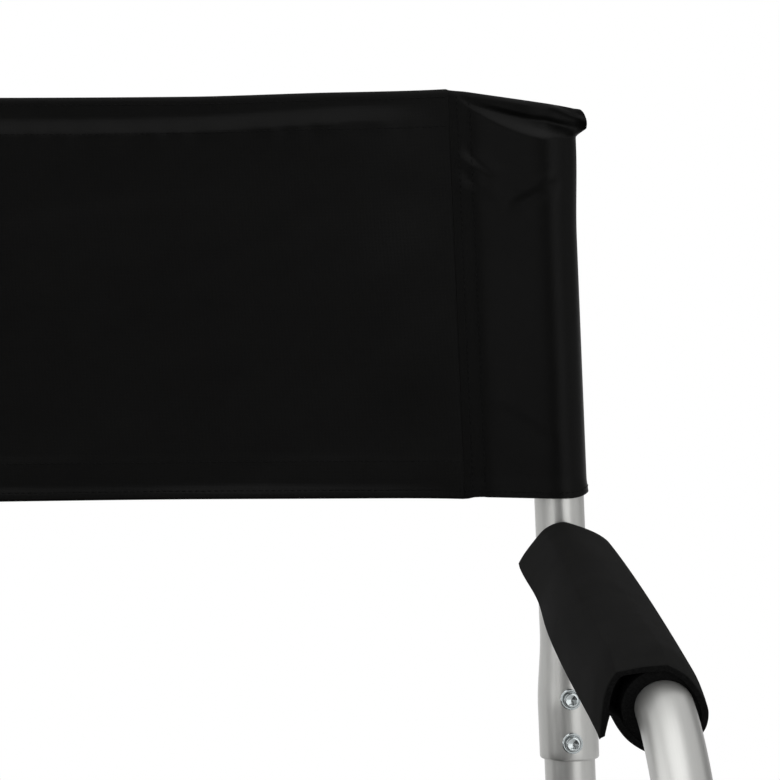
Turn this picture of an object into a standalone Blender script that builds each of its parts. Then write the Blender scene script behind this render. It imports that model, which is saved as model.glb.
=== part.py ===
"""Folding director's chair: two tube side frames, a crossed folding base, cloth seat and back.

Metres, +Z up. The chair faces -Y, and +X is the sitter's left. Each side frame lies in a plane that
leans inward towards its top. Points of a side frame are written as (out, y, z), where out is the
distance outward from that plane.
"""
from math import asin, acos, cos, pi, radians, sin, sqrt, tan

import bmesh
import bpy
from mathutils import Vector

# Side frames
FRAME_HALF = 0.249
ARM_HEIGHT = 0.610
SIDE_LEAN = tan(radians(2.2))
POST_RAKE = radians(4.0)
POST_R = 0.0125
LEG_R = 0.0128
TUBE_WALL = 0.0015
ARM_RISE = radians(1.0)
ARM_RUN = 0.3235
ARM_BEND = 0.112
TUBE_SIDES = 20
BEND_STEPS = 10

# Back post and the bell that fits over the rear leg, as heights along the post from arm level
POST_TOP = 0.2120
FLARE_TOP = -0.034
FLARE_END = -0.072
BELL_RIM = -0.0980
BELL_R = 0.0150
BELL_LIP = 0.0012
LEG_TOP = -0.0570
BORE_FLARE = 0.010
FLARE_STEPS = 5
CAP_THICK = 0.002
CAP_PLUG = 0.012

# Bell bolts and nuts
BOLT_PLACES = {"upper": -0.0655, "lower": -0.0884}
BOLT_R = 0.0025
BOLT_CAP_R = 0.00365
BOLT_CAP_HEIGHT = 0.0030
BOLT_FLANGE_R = 0.00525
BOLT_FLANGE_THICK = 0.0010
BOLT_CHAMFER = 0.0006
SOCKET_R = 0.0025
SOCKET_DEPTH = 0.0022
NUT_R = 0.0048
NUT_HEIGHT = 0.0040

# Arm pad, as distances along the arm tube from the post's axis
PAD_REAR = 0.0146
PAD_FRONT = 0.352
PAD_STATIONS = 11
PAD_EASE = 1.5
FLAP_EASE = 0.6

# Feet
FOOT_R = 0.0165
FOOT_TOP_R = 0.0155
FOOT_HEIGHT = 0.032
FOOT_FLOOR = 0.006
FOOT_EDGE = 0.002

# Folding base
RAIL_X = 0.204
LOW_RAIL_Z = 0.100
SEAT_RAIL_Z = 0.425
LOW_RAIL_R = 0.0095
SEAT_RAIL_R = 0.0110
RAIL_PROUD = 0.033
BAR_HALF = 0.011
BAR_THICK = 0.008
EYE_WALL = 0.0048
BAR_STEP = 0.010
CLAMP_HALF = 0.010
CLAMP_GAP = 0.0015
PIVOT_R = 0.003
PIVOT_HEAD_R = 0.0065
PIVOT_HEAD = 0.0028
RAIL_SIDES = 18

# Clamps and cradles on the legs
BOSS_WALL = 0.0042
BOSS_HALF = 0.017
CLAMP_WALL = 0.0045
CRADLE_LIP = 0.004

# Cloth
CLOTH = 0.0010
HEM = 0.0008
SEAM = 0.040
POCKET = 0.0355
SLEEVE_FOOT = 0.0340
SLEEVE_ROUND = 0.2155
SLEEVE_PRESS = 0.0030
SLEEVE_FLAT = 0.0222
SEAM_TOP = 0.2387
CORNER_TOP = 0.2285
BACK_DRAW_DOWN = 0.0030
BACK_DRAW_UP = 0.0007
BACK_BILLOW = 0.006
SEAT_SAG = 0.022
SEAT_HEM_RISE = 0.004
ARC_POINTS = 13
BACK_CELLS = (16, 8)
SEAT_CELLS = (16, 8)

# Clearances
GAP = 0.0003
CLOTH_GAP = 0.0006
RUN_GAP = 0.0004

FORWARD = Vector((0, -cos(POST_RAKE), sin(POST_RAKE)))
OUT = Vector((1, 0, 0))
ALONG_Y = Vector((0, 1, 0))
UP = Vector((0, 0, 1))
FRONT_LEG_Y = -ARM_RUN * cos(ARM_RISE) - ARM_BEND * (1 + sin(ARM_RISE))
MIDDLE_Z = (LOW_RAIL_Z + SEAT_RAIL_Z) / 2
SIDES = {"left": 1, "right": -1}


def post_point(along):
    """A point on the axis shared by the back post and the rear leg, in frame terms."""
    return Vector((0, along * sin(POST_RAKE), ARM_HEIGHT + along * cos(POST_RAKE)))


def rear_leg_y(z):
    """Where the raked rear leg's axis is at a height."""
    return (z - ARM_HEIGHT) * tan(POST_RAKE)


def to_chair(side, point):
    """A side frame's point, leaned and set on its side of the chair."""
    out = FRAME_HALF + (ARM_HEIGHT - point.z) * SIDE_LEAN + point.x
    return Vector((side * out, point.y, point.z))


def on_side(side, rings):
    return [[to_chair(side, p) for p in ring] for ring in rings]


SEAT_REAR_Y = rear_leg_y(SEAT_RAIL_Z)
RAIL_FRONT = FRONT_LEG_Y - RAIL_PROUD
RAIL_REAR = SEAT_REAR_Y + RAIL_PROUD
BAR_OFFSET = CLAMP_HALF + CLAMP_GAP + BAR_THICK / 2

for leftover in list(bpy.data.objects):
    bpy.data.objects.remove(leftover, do_unlink=True)


def finish(name, colour, roughness, metallic):
    """A plain surface finish."""
    material = bpy.data.materials.new(name)
    material.use_nodes = True
    shader = material.node_tree.nodes["Principled BSDF"]
    shader.inputs["Base Color"].default_value = (*colour, 1)
    shader.inputs["Roughness"].default_value = roughness
    shader.inputs["Metallic"].default_value = metallic
    return material


ALUMINIUM = finish("satin_aluminium", (0.60, 0.60, 0.58), 0.38, 1.0)
STEEL = finish("zinc_steel", (0.66, 0.68, 0.68), 0.25, 1.0)
PLASTIC = finish("black_plastic", (0.020, 0.020, 0.021), 0.45, 0.0)
CANVAS = finish("black_canvas", (0.010, 0.010, 0.010), 0.85, 0.0)
PAD_CLOTH = finish("black_pad_cloth", (0.015, 0.015, 0.015), 0.80, 0.0)


def empty(name, place, parent=None):
    marker = bpy.data.objects.new(name, None)
    marker.location = place
    marker.parent = parent
    bpy.context.collection.objects.link(marker)
    return marker


# The turning axis of each body, along Y through these points
CHAIR = empty("chair", (0, 0, 0))
AXES = {
    "left_frame": empty("left_frame_axis", (0, 0, 0), CHAIR),
    "right_frame": empty("right_frame_axis", (-RAIL_X, 0, LOW_RAIL_Z), CHAIR),
    "cross_a": empty("cross_a_axis", (RAIL_X, 0, LOW_RAIL_Z), CHAIR),
    "cross_b": empty("cross_b_axis", (0, 0, MIDDLE_Z), CHAIR),
    "left_seat": empty("left_seat_axis", (RAIL_X, 0, SEAT_RAIL_Z), CHAIR),
    "right_seat": empty("right_seat_axis", (-RAIL_X, 0, SEAT_RAIL_Z), CHAIR),
}


def settle(name, bm, material, body):
    """Turns a mesh in chair terms into a named object that hangs on its body's axis."""
    axis = AXES[body]
    bmesh.ops.translate(bm, verts=bm.verts, vec=-axis.location)
    bmesh.ops.recalc_face_normals(bm, faces=bm.faces)
    mesh = bpy.data.meshes.new(name)
    bm.to_mesh(mesh)
    bm.free()
    mesh.materials.append(material)
    mesh.shade_smooth()
    mesh.set_sharp_from_angle(angle=radians(35))
    piece = bpy.data.objects.new(name, mesh)
    piece.parent = axis
    bpy.context.collection.objects.link(piece)
    return piece


def ring(centre, across, up, radius, sides=TUBE_SIDES):
    turns = [2 * pi * i / sides for i in range(sides)]
    return [centre + radius * (cos(a) * across + sin(a) * up) for a in turns]


def skin(bm, rings):
    """Adds the faces between neighbouring rings and returns the rings' vertices."""
    loops = [[bm.verts.new(p) for p in points] for points in rings]
    for low, high in zip(loops, loops[1:]):
        for i, corner in enumerate(low):
            j = (i + 1) % len(low)
            bm.faces.new((corner, low[j], high[j], high[i]))
    return loops


def lofted(name, rings, material, body):
    """A solid through rings of points, with flat ends."""
    bm = bmesh.new()
    loops = skin(bm, rings)
    bm.faces.new(loops[0])
    bm.faces.new(loops[-1])
    return settle(name, bm, material, body)


def hollow(name, outer, inner, material, body):
    """A tube-like solid between outer and inner rings, open at both ends."""
    bm = bmesh.new()
    outside = skin(bm, outer)
    inside = skin(bm, inner)
    for end in (0, -1):
        for i, corner in enumerate(outside[end]):
            j = (i + 1) % len(outside[end])
            bm.faces.new((corner, outside[end][j], inside[end][j], inside[end][i]))
    return settle(name, bm, material, body)


def turned_rings(stations, centre, axis, sides=RAIL_SIDES):
    """Rings of a turned shape from (distance along the axis, radius) stations."""
    across = OUT if abs(axis.x) < 0.5 else ALONG_Y
    up = axis.cross(across).normalized()
    return [ring(centre + t * axis, across, up, r, sides) for t, r in stations]


def reshape(piece, tools, operation):
    """Cuts or joins tool solids into a piece, and removes the tools."""
    for tool in tools:
        change = piece.modifiers.new(operation.lower(), "BOOLEAN")
        change.operation = operation
        change.solver = "EXACT"
        change.object = tool
    graph = bpy.context.evaluated_depsgraph_get()
    shaped = bpy.data.meshes.new_from_object(piece.evaluated_get(graph))
    shaped.name = piece.name
    piece.modifiers.clear()
    piece.data = shaped
    for tool in tools:
        bpy.data.objects.remove(tool, do_unlink=True)


def smooth_step(t):
    t = max(0.0, min(1.0, t))
    return t * t * (3 - 2 * t)


# Back post, rear leg and what bolts them together


def bell_radius(along):
    """The post's outer radius, swelling into the bell."""
    return POST_R + (BELL_R - POST_R) * smooth_step((FLARE_TOP - along) / (FLARE_TOP - FLARE_END))


def post_ring(along, radius):
    return ring(post_point(along), OUT, FORWARD, radius)


def bolt_hole(side, along, body):
    """A cutter for one bolt hole, right through the bell and the leg."""
    reach = 2 * BELL_R
    rings = turned_rings([(-reach, BOLT_R + GAP), (reach, BOLT_R + GAP)], post_point(along), FORWARD)
    return lofted("hole", on_side(side, rings), STEEL, body)


def build_post(label, side, body):
    steps = [FLARE_TOP + (FLARE_END - FLARE_TOP) * i / FLARE_STEPS for i in range(FLARE_STEPS + 1)]
    outer = [post_ring(s, bell_radius(s)) for s in [POST_TOP, *steps, BELL_RIM + BELL_LIP]]
    outer.append(post_ring(BELL_RIM, BELL_R - BELL_LIP))
    bore, socket = POST_R - TUBE_WALL, LEG_R + GAP
    places = [(POST_TOP, bore), (LEG_TOP + BORE_FLARE, bore), (LEG_TOP + GAP, socket), (BELL_RIM, socket)]
    inner = [post_ring(s, r) for s, r in places]
    post = hollow(f"{label}_back_post", on_side(side, outer), on_side(side, inner), ALUMINIUM, body)
    reshape(post, [bolt_hole(side, s, body) for s in BOLT_PLACES.values()], "DIFFERENCE")


def build_post_cap(label, side, body):
    plug = POST_R - TUBE_WALL - GAP
    top = POST_TOP + GAP
    places = [(top - CAP_PLUG, plug), (top, plug), (top, POST_R), (top + CAP_THICK, POST_R - CAP_THICK / 2)]
    rings = [post_ring(s, r) for s, r in places]
    lofted(f"{label}_post_cap", on_side(side, rings), PLASTIC, body)


def build_rear_leg(label, side, body):
    bottom = FOOT_FLOOR + GAP
    foot = Vector((0, rear_leg_y(bottom), bottom))
    tubes = []
    for radius in (LEG_R, LEG_R - TUBE_WALL):
        tubes.append([ring(foot, OUT, -ALONG_Y, radius), post_ring(LEG_TOP, radius)])
    outer, inner = tubes
    leg = hollow(f"{label}_rear_leg", on_side(side, outer), on_side(side, inner), ALUMINIUM, body)
    reshape(leg, [bolt_hole(side, s, body) for s in BOLT_PLACES.values()], "DIFFERENCE")


def build_bolts(label, side, body):
    """Flanged socket bolts with their heads forward, and the nuts behind the bell."""
    seat = BELL_R + GAP
    cap = seat + BOLT_FLANGE_THICK
    crown = cap + BOLT_CAP_HEIGHT
    stations = [(-seat - NUT_HEIGHT, BOLT_R), (seat, BOLT_R), (seat, BOLT_FLANGE_R), (cap, BOLT_FLANGE_R)]
    stations += [(cap, BOLT_CAP_R), (crown - BOLT_CHAMFER, BOLT_CAP_R), (crown, BOLT_CAP_R - BOLT_CHAMFER)]
    for place, along in BOLT_PLACES.items():
        centre = post_point(along)
        rings = turned_rings(stations, centre, FORWARD)
        bolt = lofted(f"{label}_bell_bolt_{place}", on_side(side, rings), STEEL, body)
        socket = turned_rings([(crown - SOCKET_DEPTH, SOCKET_R), (2 * crown, SOCKET_R)], centre, FORWARD, 6)
        reshape(bolt, [lofted("socket", on_side(side, socket), STEEL, body)], "DIFFERENCE")
        nut_ends = [-seat, -seat - NUT_HEIGHT]
        hexes = turned_rings([(t, NUT_R) for t in nut_ends], centre, FORWARD, 6)
        holes = turned_rings([(t, BOLT_R + GAP) for t in nut_ends], centre, FORWARD, 6 * 2)
        corners = [[p for i, q in enumerate(h) for p in (q, (q + h[(i + 1) % 6]) / 2)] for h in hexes]
        hollow(f"{label}_bell_nut_{place}", on_side(side, corners), on_side(side, holes), STEEL, body)


# Arm tube, arm pad and feet


def arm_frame(along):
    """Point and direction on the arm: a straight run, then the bend."""
    start = ARM_RUN * Vector((0, -cos(ARM_RISE), sin(ARM_RISE))) + ARM_HEIGHT * UP
    past = along - ARM_RUN
    turn = ARM_RISE - max(past, 0) / ARM_BEND
    ahead = Vector((0, -cos(turn), sin(turn)))
    if past <= 0:
        return start + past * ahead, ahead
    bend = Vector((0, sin(turn) - sin(ARM_RISE), cos(turn) - cos(ARM_RISE)))
    return start + ARM_BEND * bend, ahead


def bend_places():
    """Distances along the arm at which its bend is stepped."""
    length = ARM_BEND * (pi / 2 + ARM_RISE)
    return [ARM_RUN + length * i / BEND_STEPS for i in range(BEND_STEPS + 1)]


def arm_ring(along, radius):
    centre, ahead = arm_frame(along)
    return ring(centre, OUT, ahead.cross(OUT), radius)


def coped_ring(radius):
    """The arm tube's rear end, shaped to sit against the round post."""
    base, ahead = arm_frame(0)
    up = ahead.cross(OUT)
    points = []
    for p in ring(Vector(), OUT, up, radius):
        reach = sqrt((POST_R + GAP) ** 2 - p.x ** 2)
        along = (reach - p.dot(FORWARD)) / ahead.dot(FORWARD)
        points.append(base + p + along * ahead)
    return points


def build_arm(label, side, body):
    tubes = []
    for radius in (POST_R, POST_R - TUBE_WALL):
        bends = [arm_ring(along, radius) for along in bend_places()]
        foot = ring(Vector((0, FRONT_LEG_Y, FOOT_FLOOR + GAP)), OUT, (-UP).cross(OUT), radius)
        tubes.append([coped_ring(radius), *bends, foot])
    outer, inner = tubes
    hollow(f"{label}_arm_tube", on_side(side, outer), on_side(side, inner), ALUMINIUM, body)


# Outline of the wrapped pad round the arm tube as (inward, up), in millimetres. It starts at the tip of
# the hanging flap, goes under the tube and comes back over the top.
PAD_FRONT_OUTLINE = [
    (26.1, -12.8), (23.4, -11.6), (22.4, -2.7), (19.1, -9.4), (14.4, -15.2), (7.2, -20.0),
    (0.0, -21.4), (-9.5, -18.6), (-16.4, -10.6), (-18.0, -2.0), (-17.6, 5.0), (-14.8, 12.0),
    (-9.5, 17.4), (-1.0, 20.3), (9.0, 19.6), (18.6, 18.4), (25.4, 11.4), (27.6, 0.0),
]
PAD_REAR_OUTLINE = [
    (23.0, 3.3), (20.4, 1.6), (18.0, 4.0), (16.3, -5.0), (12.3, -11.4), (6.5, -15.6),
    (0.0, -17.0), (-9.5, -15.4), (-17.0, -10.0), (-21.5, 0.0), (-22.8, 8.0), (-21.4, 13.2),
    (-15.4, 18.0), (-6.0, 22.2), (1.2, 23.8), (9.1, 21.0), (15.0, 15.2), (20.0, 8.2),
]
MM = 0.001


def pad_section(share):
    """The pad's outline part way from its rear end to its front; the flap side drops sooner."""
    low = min(w for w, _ in PAD_REAR_OUTLINE)
    high = max(w for w, _ in PAD_REAR_OUTLINE)
    section = []
    for rear, front in zip(PAD_REAR_OUTLINE, PAD_FRONT_OUTLINE):
        inward = (rear[0] - low) / (high - low)
        mix = share ** (PAD_EASE + (FLAP_EASE - PAD_EASE) * inward)
        section.append(Vector(rear).lerp(Vector(front), mix) * MM)
    return section


def build_pad(label, side, body):
    """Padded cloth wrapped over the arm, tented at the rear and squarer at the front."""
    rings = []
    for i in range(PAD_STATIONS):
        share = i / (PAD_STATIONS - 1)
        centre, ahead = arm_frame(PAD_REAR + (PAD_FRONT - PAD_REAR) * share)
        up = ahead.cross(OUT)
        rings.append([centre - q.x * OUT + q.y * up for q in pad_section(share)])
    pad = lofted(f"{label}_arm_pad", on_side(side, rings), PAD_CLOTH, body)
    beyond = [along for along in bend_places() if along < PAD_FRONT + 2 * POST_R]
    bore = [arm_ring(along, POST_R + CLOTH_GAP) for along in (0, *beyond)]
    reshape(pad, [lofted("bore", on_side(side, bore), PAD_CLOTH, body)], "DIFFERENCE")


def build_feet(label, side, body):
    socket = LEG_R + GAP
    places = [(0, FOOT_R - FOOT_EDGE), (FOOT_EDGE, FOOT_R), (FOOT_HEIGHT, FOOT_TOP_R)]
    places += [(FOOT_HEIGHT, socket), (FOOT_FLOOR, socket)]
    for end in ("front", "rear"):
        rings = []
        for z, radius in places:
            y = FRONT_LEG_Y if end == "front" else rear_leg_y(z)
            rings.append(ring(Vector((0, y, z)), OUT, ALONG_Y, radius))
        lofted(f"{label}_{end}_foot", on_side(side, rings), PLASTIC, body)


# Rails, the fittings that join them to the legs, and the cross bars


def rail_rings(side, z, radius, low, high):
    centre = Vector((side * RAIL_X, 0, z))
    return turned_rings([(low, radius), (high, radius)], centre, ALONG_Y)


def build_rail(name, side, z, radius, body):
    outer = rail_rings(side, z, radius, RAIL_FRONT, RAIL_REAR)
    inner = rail_rings(side, z, radius - TUBE_WALL, RAIL_FRONT, RAIL_REAR)
    hollow(name, outer, inner, ALUMINIUM, body)
    plug = radius - TUBE_WALL - GAP
    places = [(-CAP_PLUG, plug), (GAP, plug), (GAP, radius), (GAP + CAP_THICK, radius - CAP_THICK / 2)]
    for end, y, away in (("front", RAIL_FRONT, -1), ("rear", RAIL_REAR, 1)):
        centre = Vector((side * RAIL_X, y, z))
        lofted(f"{name}_{end}_cap", turned_rings(places, centre, away * ALONG_Y), PLASTIC, body)


def box(name, low, high, material, body):
    corners = [(low.x, low.y), (high.x, low.y), (high.x, high.y), (low.x, high.y)]
    rings = [[Vector((x, y, z)) for x, y in corners] for z in (low.z, high.z)]
    return lofted(name, rings, material, body)


def leg_column(side, end, low, high, radius, body):
    """A round column about a leg's axis between two heights."""
    rings = []
    for z in (low, high):
        y = FRONT_LEG_Y if end == "front" else rear_leg_y(z)
        rings.append(ring(Vector((0, y, z)), OUT, ALONG_Y, radius))
    return lofted("column", on_side(side, rings), PLASTIC, body)


def build_fitting(name, side, end, z, rail_radius, open_top, body):
    """A moulded fitting: a boss on the leg and an arm in to the rail, closed round it or open above it."""
    y = FRONT_LEG_Y if end == "front" else rear_leg_y(z)
    leg_x = FRAME_HALF + (ARM_HEIGHT - z) * SIDE_LEAN
    bore = rail_radius + (RUN_GAP if open_top else GAP)
    half = bore + CLAMP_WALL
    top = z + CRADLE_LIP if open_top else z + half
    ends = sorted((side * (RAIL_X - half), side * leg_x))
    low = Vector((ends[0], y - CLAMP_HALF, z - half))
    high = Vector((ends[1], y + CLAMP_HALF, top))
    piece = box(name, low, high, PLASTIC, body)
    boss = leg_column(side, end, z - BOSS_HALF, z + BOSS_HALF, LEG_R + BOSS_WALL, body)
    reshape(piece, [boss], "UNION")
    centre = Vector((side * RAIL_X, y, z))
    reach = 2 * CLAMP_HALF
    stations = [(-reach, bore), (reach, bore)]
    tools = [
        leg_column(side, end, z - 2 * BOSS_HALF, z + 2 * BOSS_HALF, LEG_R + GAP, body),
        lofted("rail_hole", turned_rings(stations, centre, ALONG_Y, TUBE_SIDES), PLASTIC, body),
    ]
    if open_top:
        low = centre + Vector((-bore, -reach, 0))
        high = centre + Vector((bore, reach, half))
        tools.append(box("slot", low, high, PLASTIC, body))
    reshape(piece, tools, "DIFFERENCE")


def arc(centre, along, across, radius, start, end):
    turns = [start + (end - start) * i / (ARC_POINTS - 1) for i in range(ARC_POINTS)]
    return [centre + radius * (cos(a) * along + sin(a) * across) for a in turns]


def build_bar(name, side, y, body):
    """A flat bar from the low rail on one side to the seat rail on the other, with an eye at each end."""
    low = Vector((side * RAIL_X, y, LOW_RAIL_Z))
    high = Vector((-side * RAIL_X, y, SEAT_RAIL_Z))
    along = (high - low).normalized()
    across = along.cross(ALONG_Y)
    low_bore, high_bore = LOW_RAIL_R + RUN_GAP, SEAT_RAIL_R + RUN_GAP
    low_neck = asin(BAR_HALF / (low_bore + EYE_WALL))
    high_neck = pi - asin(BAR_HALF / (high_bore + EYE_WALL))
    outline = arc(low, along, across, low_bore + EYE_WALL, low_neck, 2 * pi - low_neck)
    outline += arc(high, along, across, high_bore + EYE_WALL, -high_neck, high_neck)
    shift = ALONG_Y * BAR_THICK / 2
    bar = lofted(name, [[p - shift for p in outline], [p + shift for p in outline]], ALUMINIUM, body)
    holes = []
    for centre, radius in ((low, low_bore), (high, high_bore), ((low + high) / 2, PIVOT_R + GAP)):
        stations = [(-BAR_THICK, radius), (BAR_THICK, radius)]
        holes.append(lofted("eye", turned_rings(stations, centre, ALONG_Y), ALUMINIUM, body))
    reshape(bar, holes, "DIFFERENCE")


def build_cross(end, leg_y, away):
    """One crossed pair outside the legs, with its pivot rivet and the washer between the bars."""
    near = leg_y + away * BAR_OFFSET
    far = near + away * BAR_STEP
    build_bar(f"cross_bar_a_{end}", 1, near, "cross_a")
    build_bar(f"cross_bar_b_{end}", -1, far, "cross_b")
    centre = Vector((0, (near + far) / 2, MIDDLE_Z))
    half = (BAR_STEP + BAR_THICK) / 2 + GAP
    crown = half + PIVOT_HEAD
    rim = half + PIVOT_HEAD / 3
    stations = [(half, PIVOT_R), (half, PIVOT_HEAD_R), (rim, PIVOT_HEAD_R), (crown, PIVOT_HEAD_R / 2)]
    mirrored = [(-t, r) for t, r in reversed(stations)]
    lofted(f"pivot_rivet_{end}", turned_rings(mirrored + stations, centre, ALONG_Y), STEEL, "cross_a")
    thick = (BAR_STEP - BAR_THICK) / 2 - GAP
    faces = [(-thick, PIVOT_HEAD_R), (thick, PIVOT_HEAD_R)]
    bores = [(t, PIVOT_R + GAP) for t, _ in faces]
    outer = turned_rings(faces, centre, ALONG_Y)
    inner = turned_rings(bores, centre, ALONG_Y)
    hollow(f"pivot_washer_{end}", outer, inner, PLASTIC, "cross_a")


# Cloth


def pocket_loop(radius, tip, half_tip):
    """A drop-shaped loop round the post as (inward, back) pairs, from the seam's front round to its rear."""
    touch = acos(radius / tip)
    points = [(tip, -half_tip)]
    for i in range(ARC_POINTS):
        turn = touch + (2 * pi - 2 * touch) * i / (ARC_POINTS - 1)
        points.append((radius * cos(turn), -radius * sin(turn)))
    points.append((tip, half_tip))
    return points


def flat_loop(loop, half, reach):
    """The same loop pressed flat: each point keeps its share of the way round from the seam."""
    travel = [0.0]
    for (w0, d0), (w1, d1) in zip(loop, loop[1:]):
        travel.append(travel[-1] + sqrt((w1 - w0) ** 2 + (d1 - d0) ** 2))
    scale = 2 * (loop[0][0] + reach) / travel[-1]
    flat = []
    for i, distance in enumerate(travel):
        folded = scale * min(distance, travel[-1] - distance)
        facing = 1 - 2 * i / (len(travel) - 1)
        flat.append((loop[0][0] - folded, -half * max(-1, min(1, 3 * facing))))
    return flat


def back_point(inward, back, along):
    return post_point(along) - inward * OUT - back * FORWARD


def build_back_sleeve(label, side, body):
    """The back cloth's pocket on the post: round below, pressed flat and sewn shut at the top."""
    inner_r = POST_R + CLOTH_GAP
    outer_loop = [(SEAM, -HEM), *pocket_loop(inner_r + CLOTH, POCKET, HEM), (SEAM, HEM)]
    inner_loop = pocket_loop(inner_r, POCKET - 2 * HEM, HEM / 4)
    flat = [(SEAM, -HEM), *flat_loop(outer_loop[1:-1], HEM, SLEEVE_FLAT), (SEAM, HEM)]
    width = SEAM - min(w for w, _ in flat)
    top = [CORNER_TOP + (SEAM_TOP - CORNER_TOP) * (w + width - SEAM) / width for w, _ in flat]
    half_way = [((w0 + w1) / 2, (d0 + d1) / 2) for (w0, d0), (w1, d1) in zip(outer_loop, flat)]
    outer = [[back_point(w, d, s) for w, d in outer_loop] for s in (SLEEVE_FOOT, SLEEVE_ROUND)]
    outer.append([back_point(w, d, SLEEVE_ROUND + SLEEVE_PRESS / 2) for w, d in half_way])
    outer.append([back_point(w, d, SLEEVE_ROUND + SLEEVE_PRESS) for w, d in flat])
    outer.append([back_point(w, d, s) for (w, d), s in zip(flat, top)])
    inner_top = POST_TOP + CAP_THICK + 2 * GAP
    inner = [[back_point(w, d, s) for w, d in inner_loop] for s in (SLEEVE_FOOT, inner_top)]
    bm = bmesh.new()
    outside = skin(bm, on_side(side, outer))
    inside = skin(bm, on_side(side, inner))
    bm.faces.new(outside[-1])
    bm.faces.new(inside[-1])
    rim = outside[0]
    bm.faces.new((rim[0], rim[1], rim[-2], rim[-1]))
    for i in range(len(inside[0])):
        j = (i + 1) % len(inside[0])
        bm.faces.new((rim[i + 1], rim[j + 1], inside[0][j], inside[0][i]))
    settle(f"{label}_back_sleeve", bm, CANVAS, body)


def sheet(name, middle, normal, half, material, body):
    """A closed sheet of even thickness about a grid of middle points."""
    bm = bmesh.new()
    layers = []
    for offset in (-half, half):
        layers.append([[bm.verts.new(p + offset * normal) for p in row] for row in middle])
    rows, columns = len(middle), len(middle[0])
    for grid in layers:
        for i in range(rows - 1):
            for j in range(columns - 1):
                bm.faces.new((grid[i][j], grid[i][j + 1], grid[i + 1][j + 1], grid[i + 1][j]))
    edge = [(0, j) for j in range(columns)] + [(i, columns - 1) for i in range(1, rows)]
    edge += [(rows - 1, j) for j in reversed(range(columns - 1))]
    edge += [(i, 0) for i in reversed(range(1, rows - 1))]
    low, high = layers
    for (i, j), (k, m) in zip(edge, edge[1:] + edge[:1]):
        bm.faces.new((low[i][j], low[k][m], high[k][m], high[i][j]))
    return settle(name, bm, material, body)


def build_back_panel():
    """The back cloth between the two seams, drawn in at its free edges and billowing slightly back."""
    columns, rows = BACK_CELLS
    middle = []
    for i in range(rows + 1):
        row = []
        for j in range(columns + 1):
            place = 2 * j / columns - 1
            bow = 1 - place * place
            foot = SLEEVE_FOOT + BACK_DRAW_UP * bow
            head = SEAM_TOP - BACK_DRAW_DOWN * bow
            edge = to_chair(1, back_point(SEAM + GAP, BACK_BILLOW * bow, foot + (head - foot) * i / rows))
            row.append(Vector((edge.x * place, edge.y, edge.z)))
        middle.append(row)
    sheet("back_panel", middle, FORWARD, HEM, CANVAS, "left_frame")


SLEEVE_FRONT = FRONT_LEG_Y + CLAMP_HALF + CLAMP_GAP
SLEEVE_REAR = SEAT_REAR_Y - CLAMP_HALF - CLAMP_GAP


def build_seat_sleeve(label, side, body):
    inner_r = SEAT_RAIL_R + GAP
    outer = rail_rings(side, SEAT_RAIL_Z, inner_r + CLOTH, SLEEVE_FRONT, SLEEVE_REAR)
    inner = rail_rings(side, SEAT_RAIL_Z, inner_r, SLEEVE_FRONT, SLEEVE_REAR)
    hollow(f"{label}_seat_sleeve", outer, inner, CANVAS, body)


def build_seat_panel():
    """The seat cloth between the rails, leaving the tops of the sleeves and sagging in the middle."""
    columns, rows = SEAT_CELLS
    reach = SEAT_RAIL_R + GAP + CLOTH + HEM + GAP
    slope = 2 * SEAT_SAG / RAIL_X
    half_width = RAIL_X - reach * slope
    middle = []
    for i in range(rows + 1):
        y = SLEEVE_FRONT + (SLEEVE_REAR - SLEEVE_FRONT) * i / rows
        hem = (2 * i / rows - 1) ** 4
        row = []
        for j in range(columns + 1):
            place = 2 * j / columns - 1
            sag = (SEAT_SAG - SEAT_HEM_RISE * hem) * (1 - place * place)
            row.append(Vector((half_width * place, y, SEAT_RAIL_Z + reach - sag)))
        middle.append(row)
    sheet("seat_panel", middle, UP, HEM, CANVAS, "left_seat")


def build_side(label, side):
    frame, seat = f"{label}_frame", f"{label}_seat"
    build_post(label, side, frame)
    build_post_cap(label, side, frame)
    build_rear_leg(label, side, frame)
    build_bolts(label, side, frame)
    build_arm(label, side, frame)
    build_pad(label, side, frame)
    build_feet(label, side, frame)
    build_rail(f"{label}_low_rail", side, LOW_RAIL_Z, LOW_RAIL_R, frame)
    build_rail(f"{label}_seat_rail", side, SEAT_RAIL_Z, SEAT_RAIL_R, seat)
    for end in ("front", "rear"):
        build_fitting(f"{label}_{end}_clamp", side, end, LOW_RAIL_Z, LOW_RAIL_R, False, frame)
        build_fitting(f"{label}_{end}_cradle", side, end, SEAT_RAIL_Z, SEAT_RAIL_R, True, frame)
    build_back_sleeve(label, side, frame)
    build_seat_sleeve(label, side, seat)


def set_on_floor_centre():
    """Brings the chair's outline to the middle of its own floor plan, front to back."""
    bpy.context.view_layer.update()
    depths = []
    for piece in bpy.data.objects:
        if piece.type == "MESH":
            depths += [(piece.matrix_world @ v.co).y for v in piece.data.vertices]
    CHAIR.location.y = -(min(depths) + max(depths)) / 2


for side_label, side_sign in SIDES.items():
    build_side(side_label, side_sign)
build_cross("front", FRONT_LEG_Y, -1)
build_cross("rear", SEAT_REAR_Y, 1)
build_back_panel()
build_seat_panel()
set_on_floor_centre()
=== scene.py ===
"""Looks of a folding director's chair: cloth back and seat, wrapped arm pads, satin tubes and fittings."""

import logging
import math
from dataclasses import dataclass
from enum import Enum
from functools import cache

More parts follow.
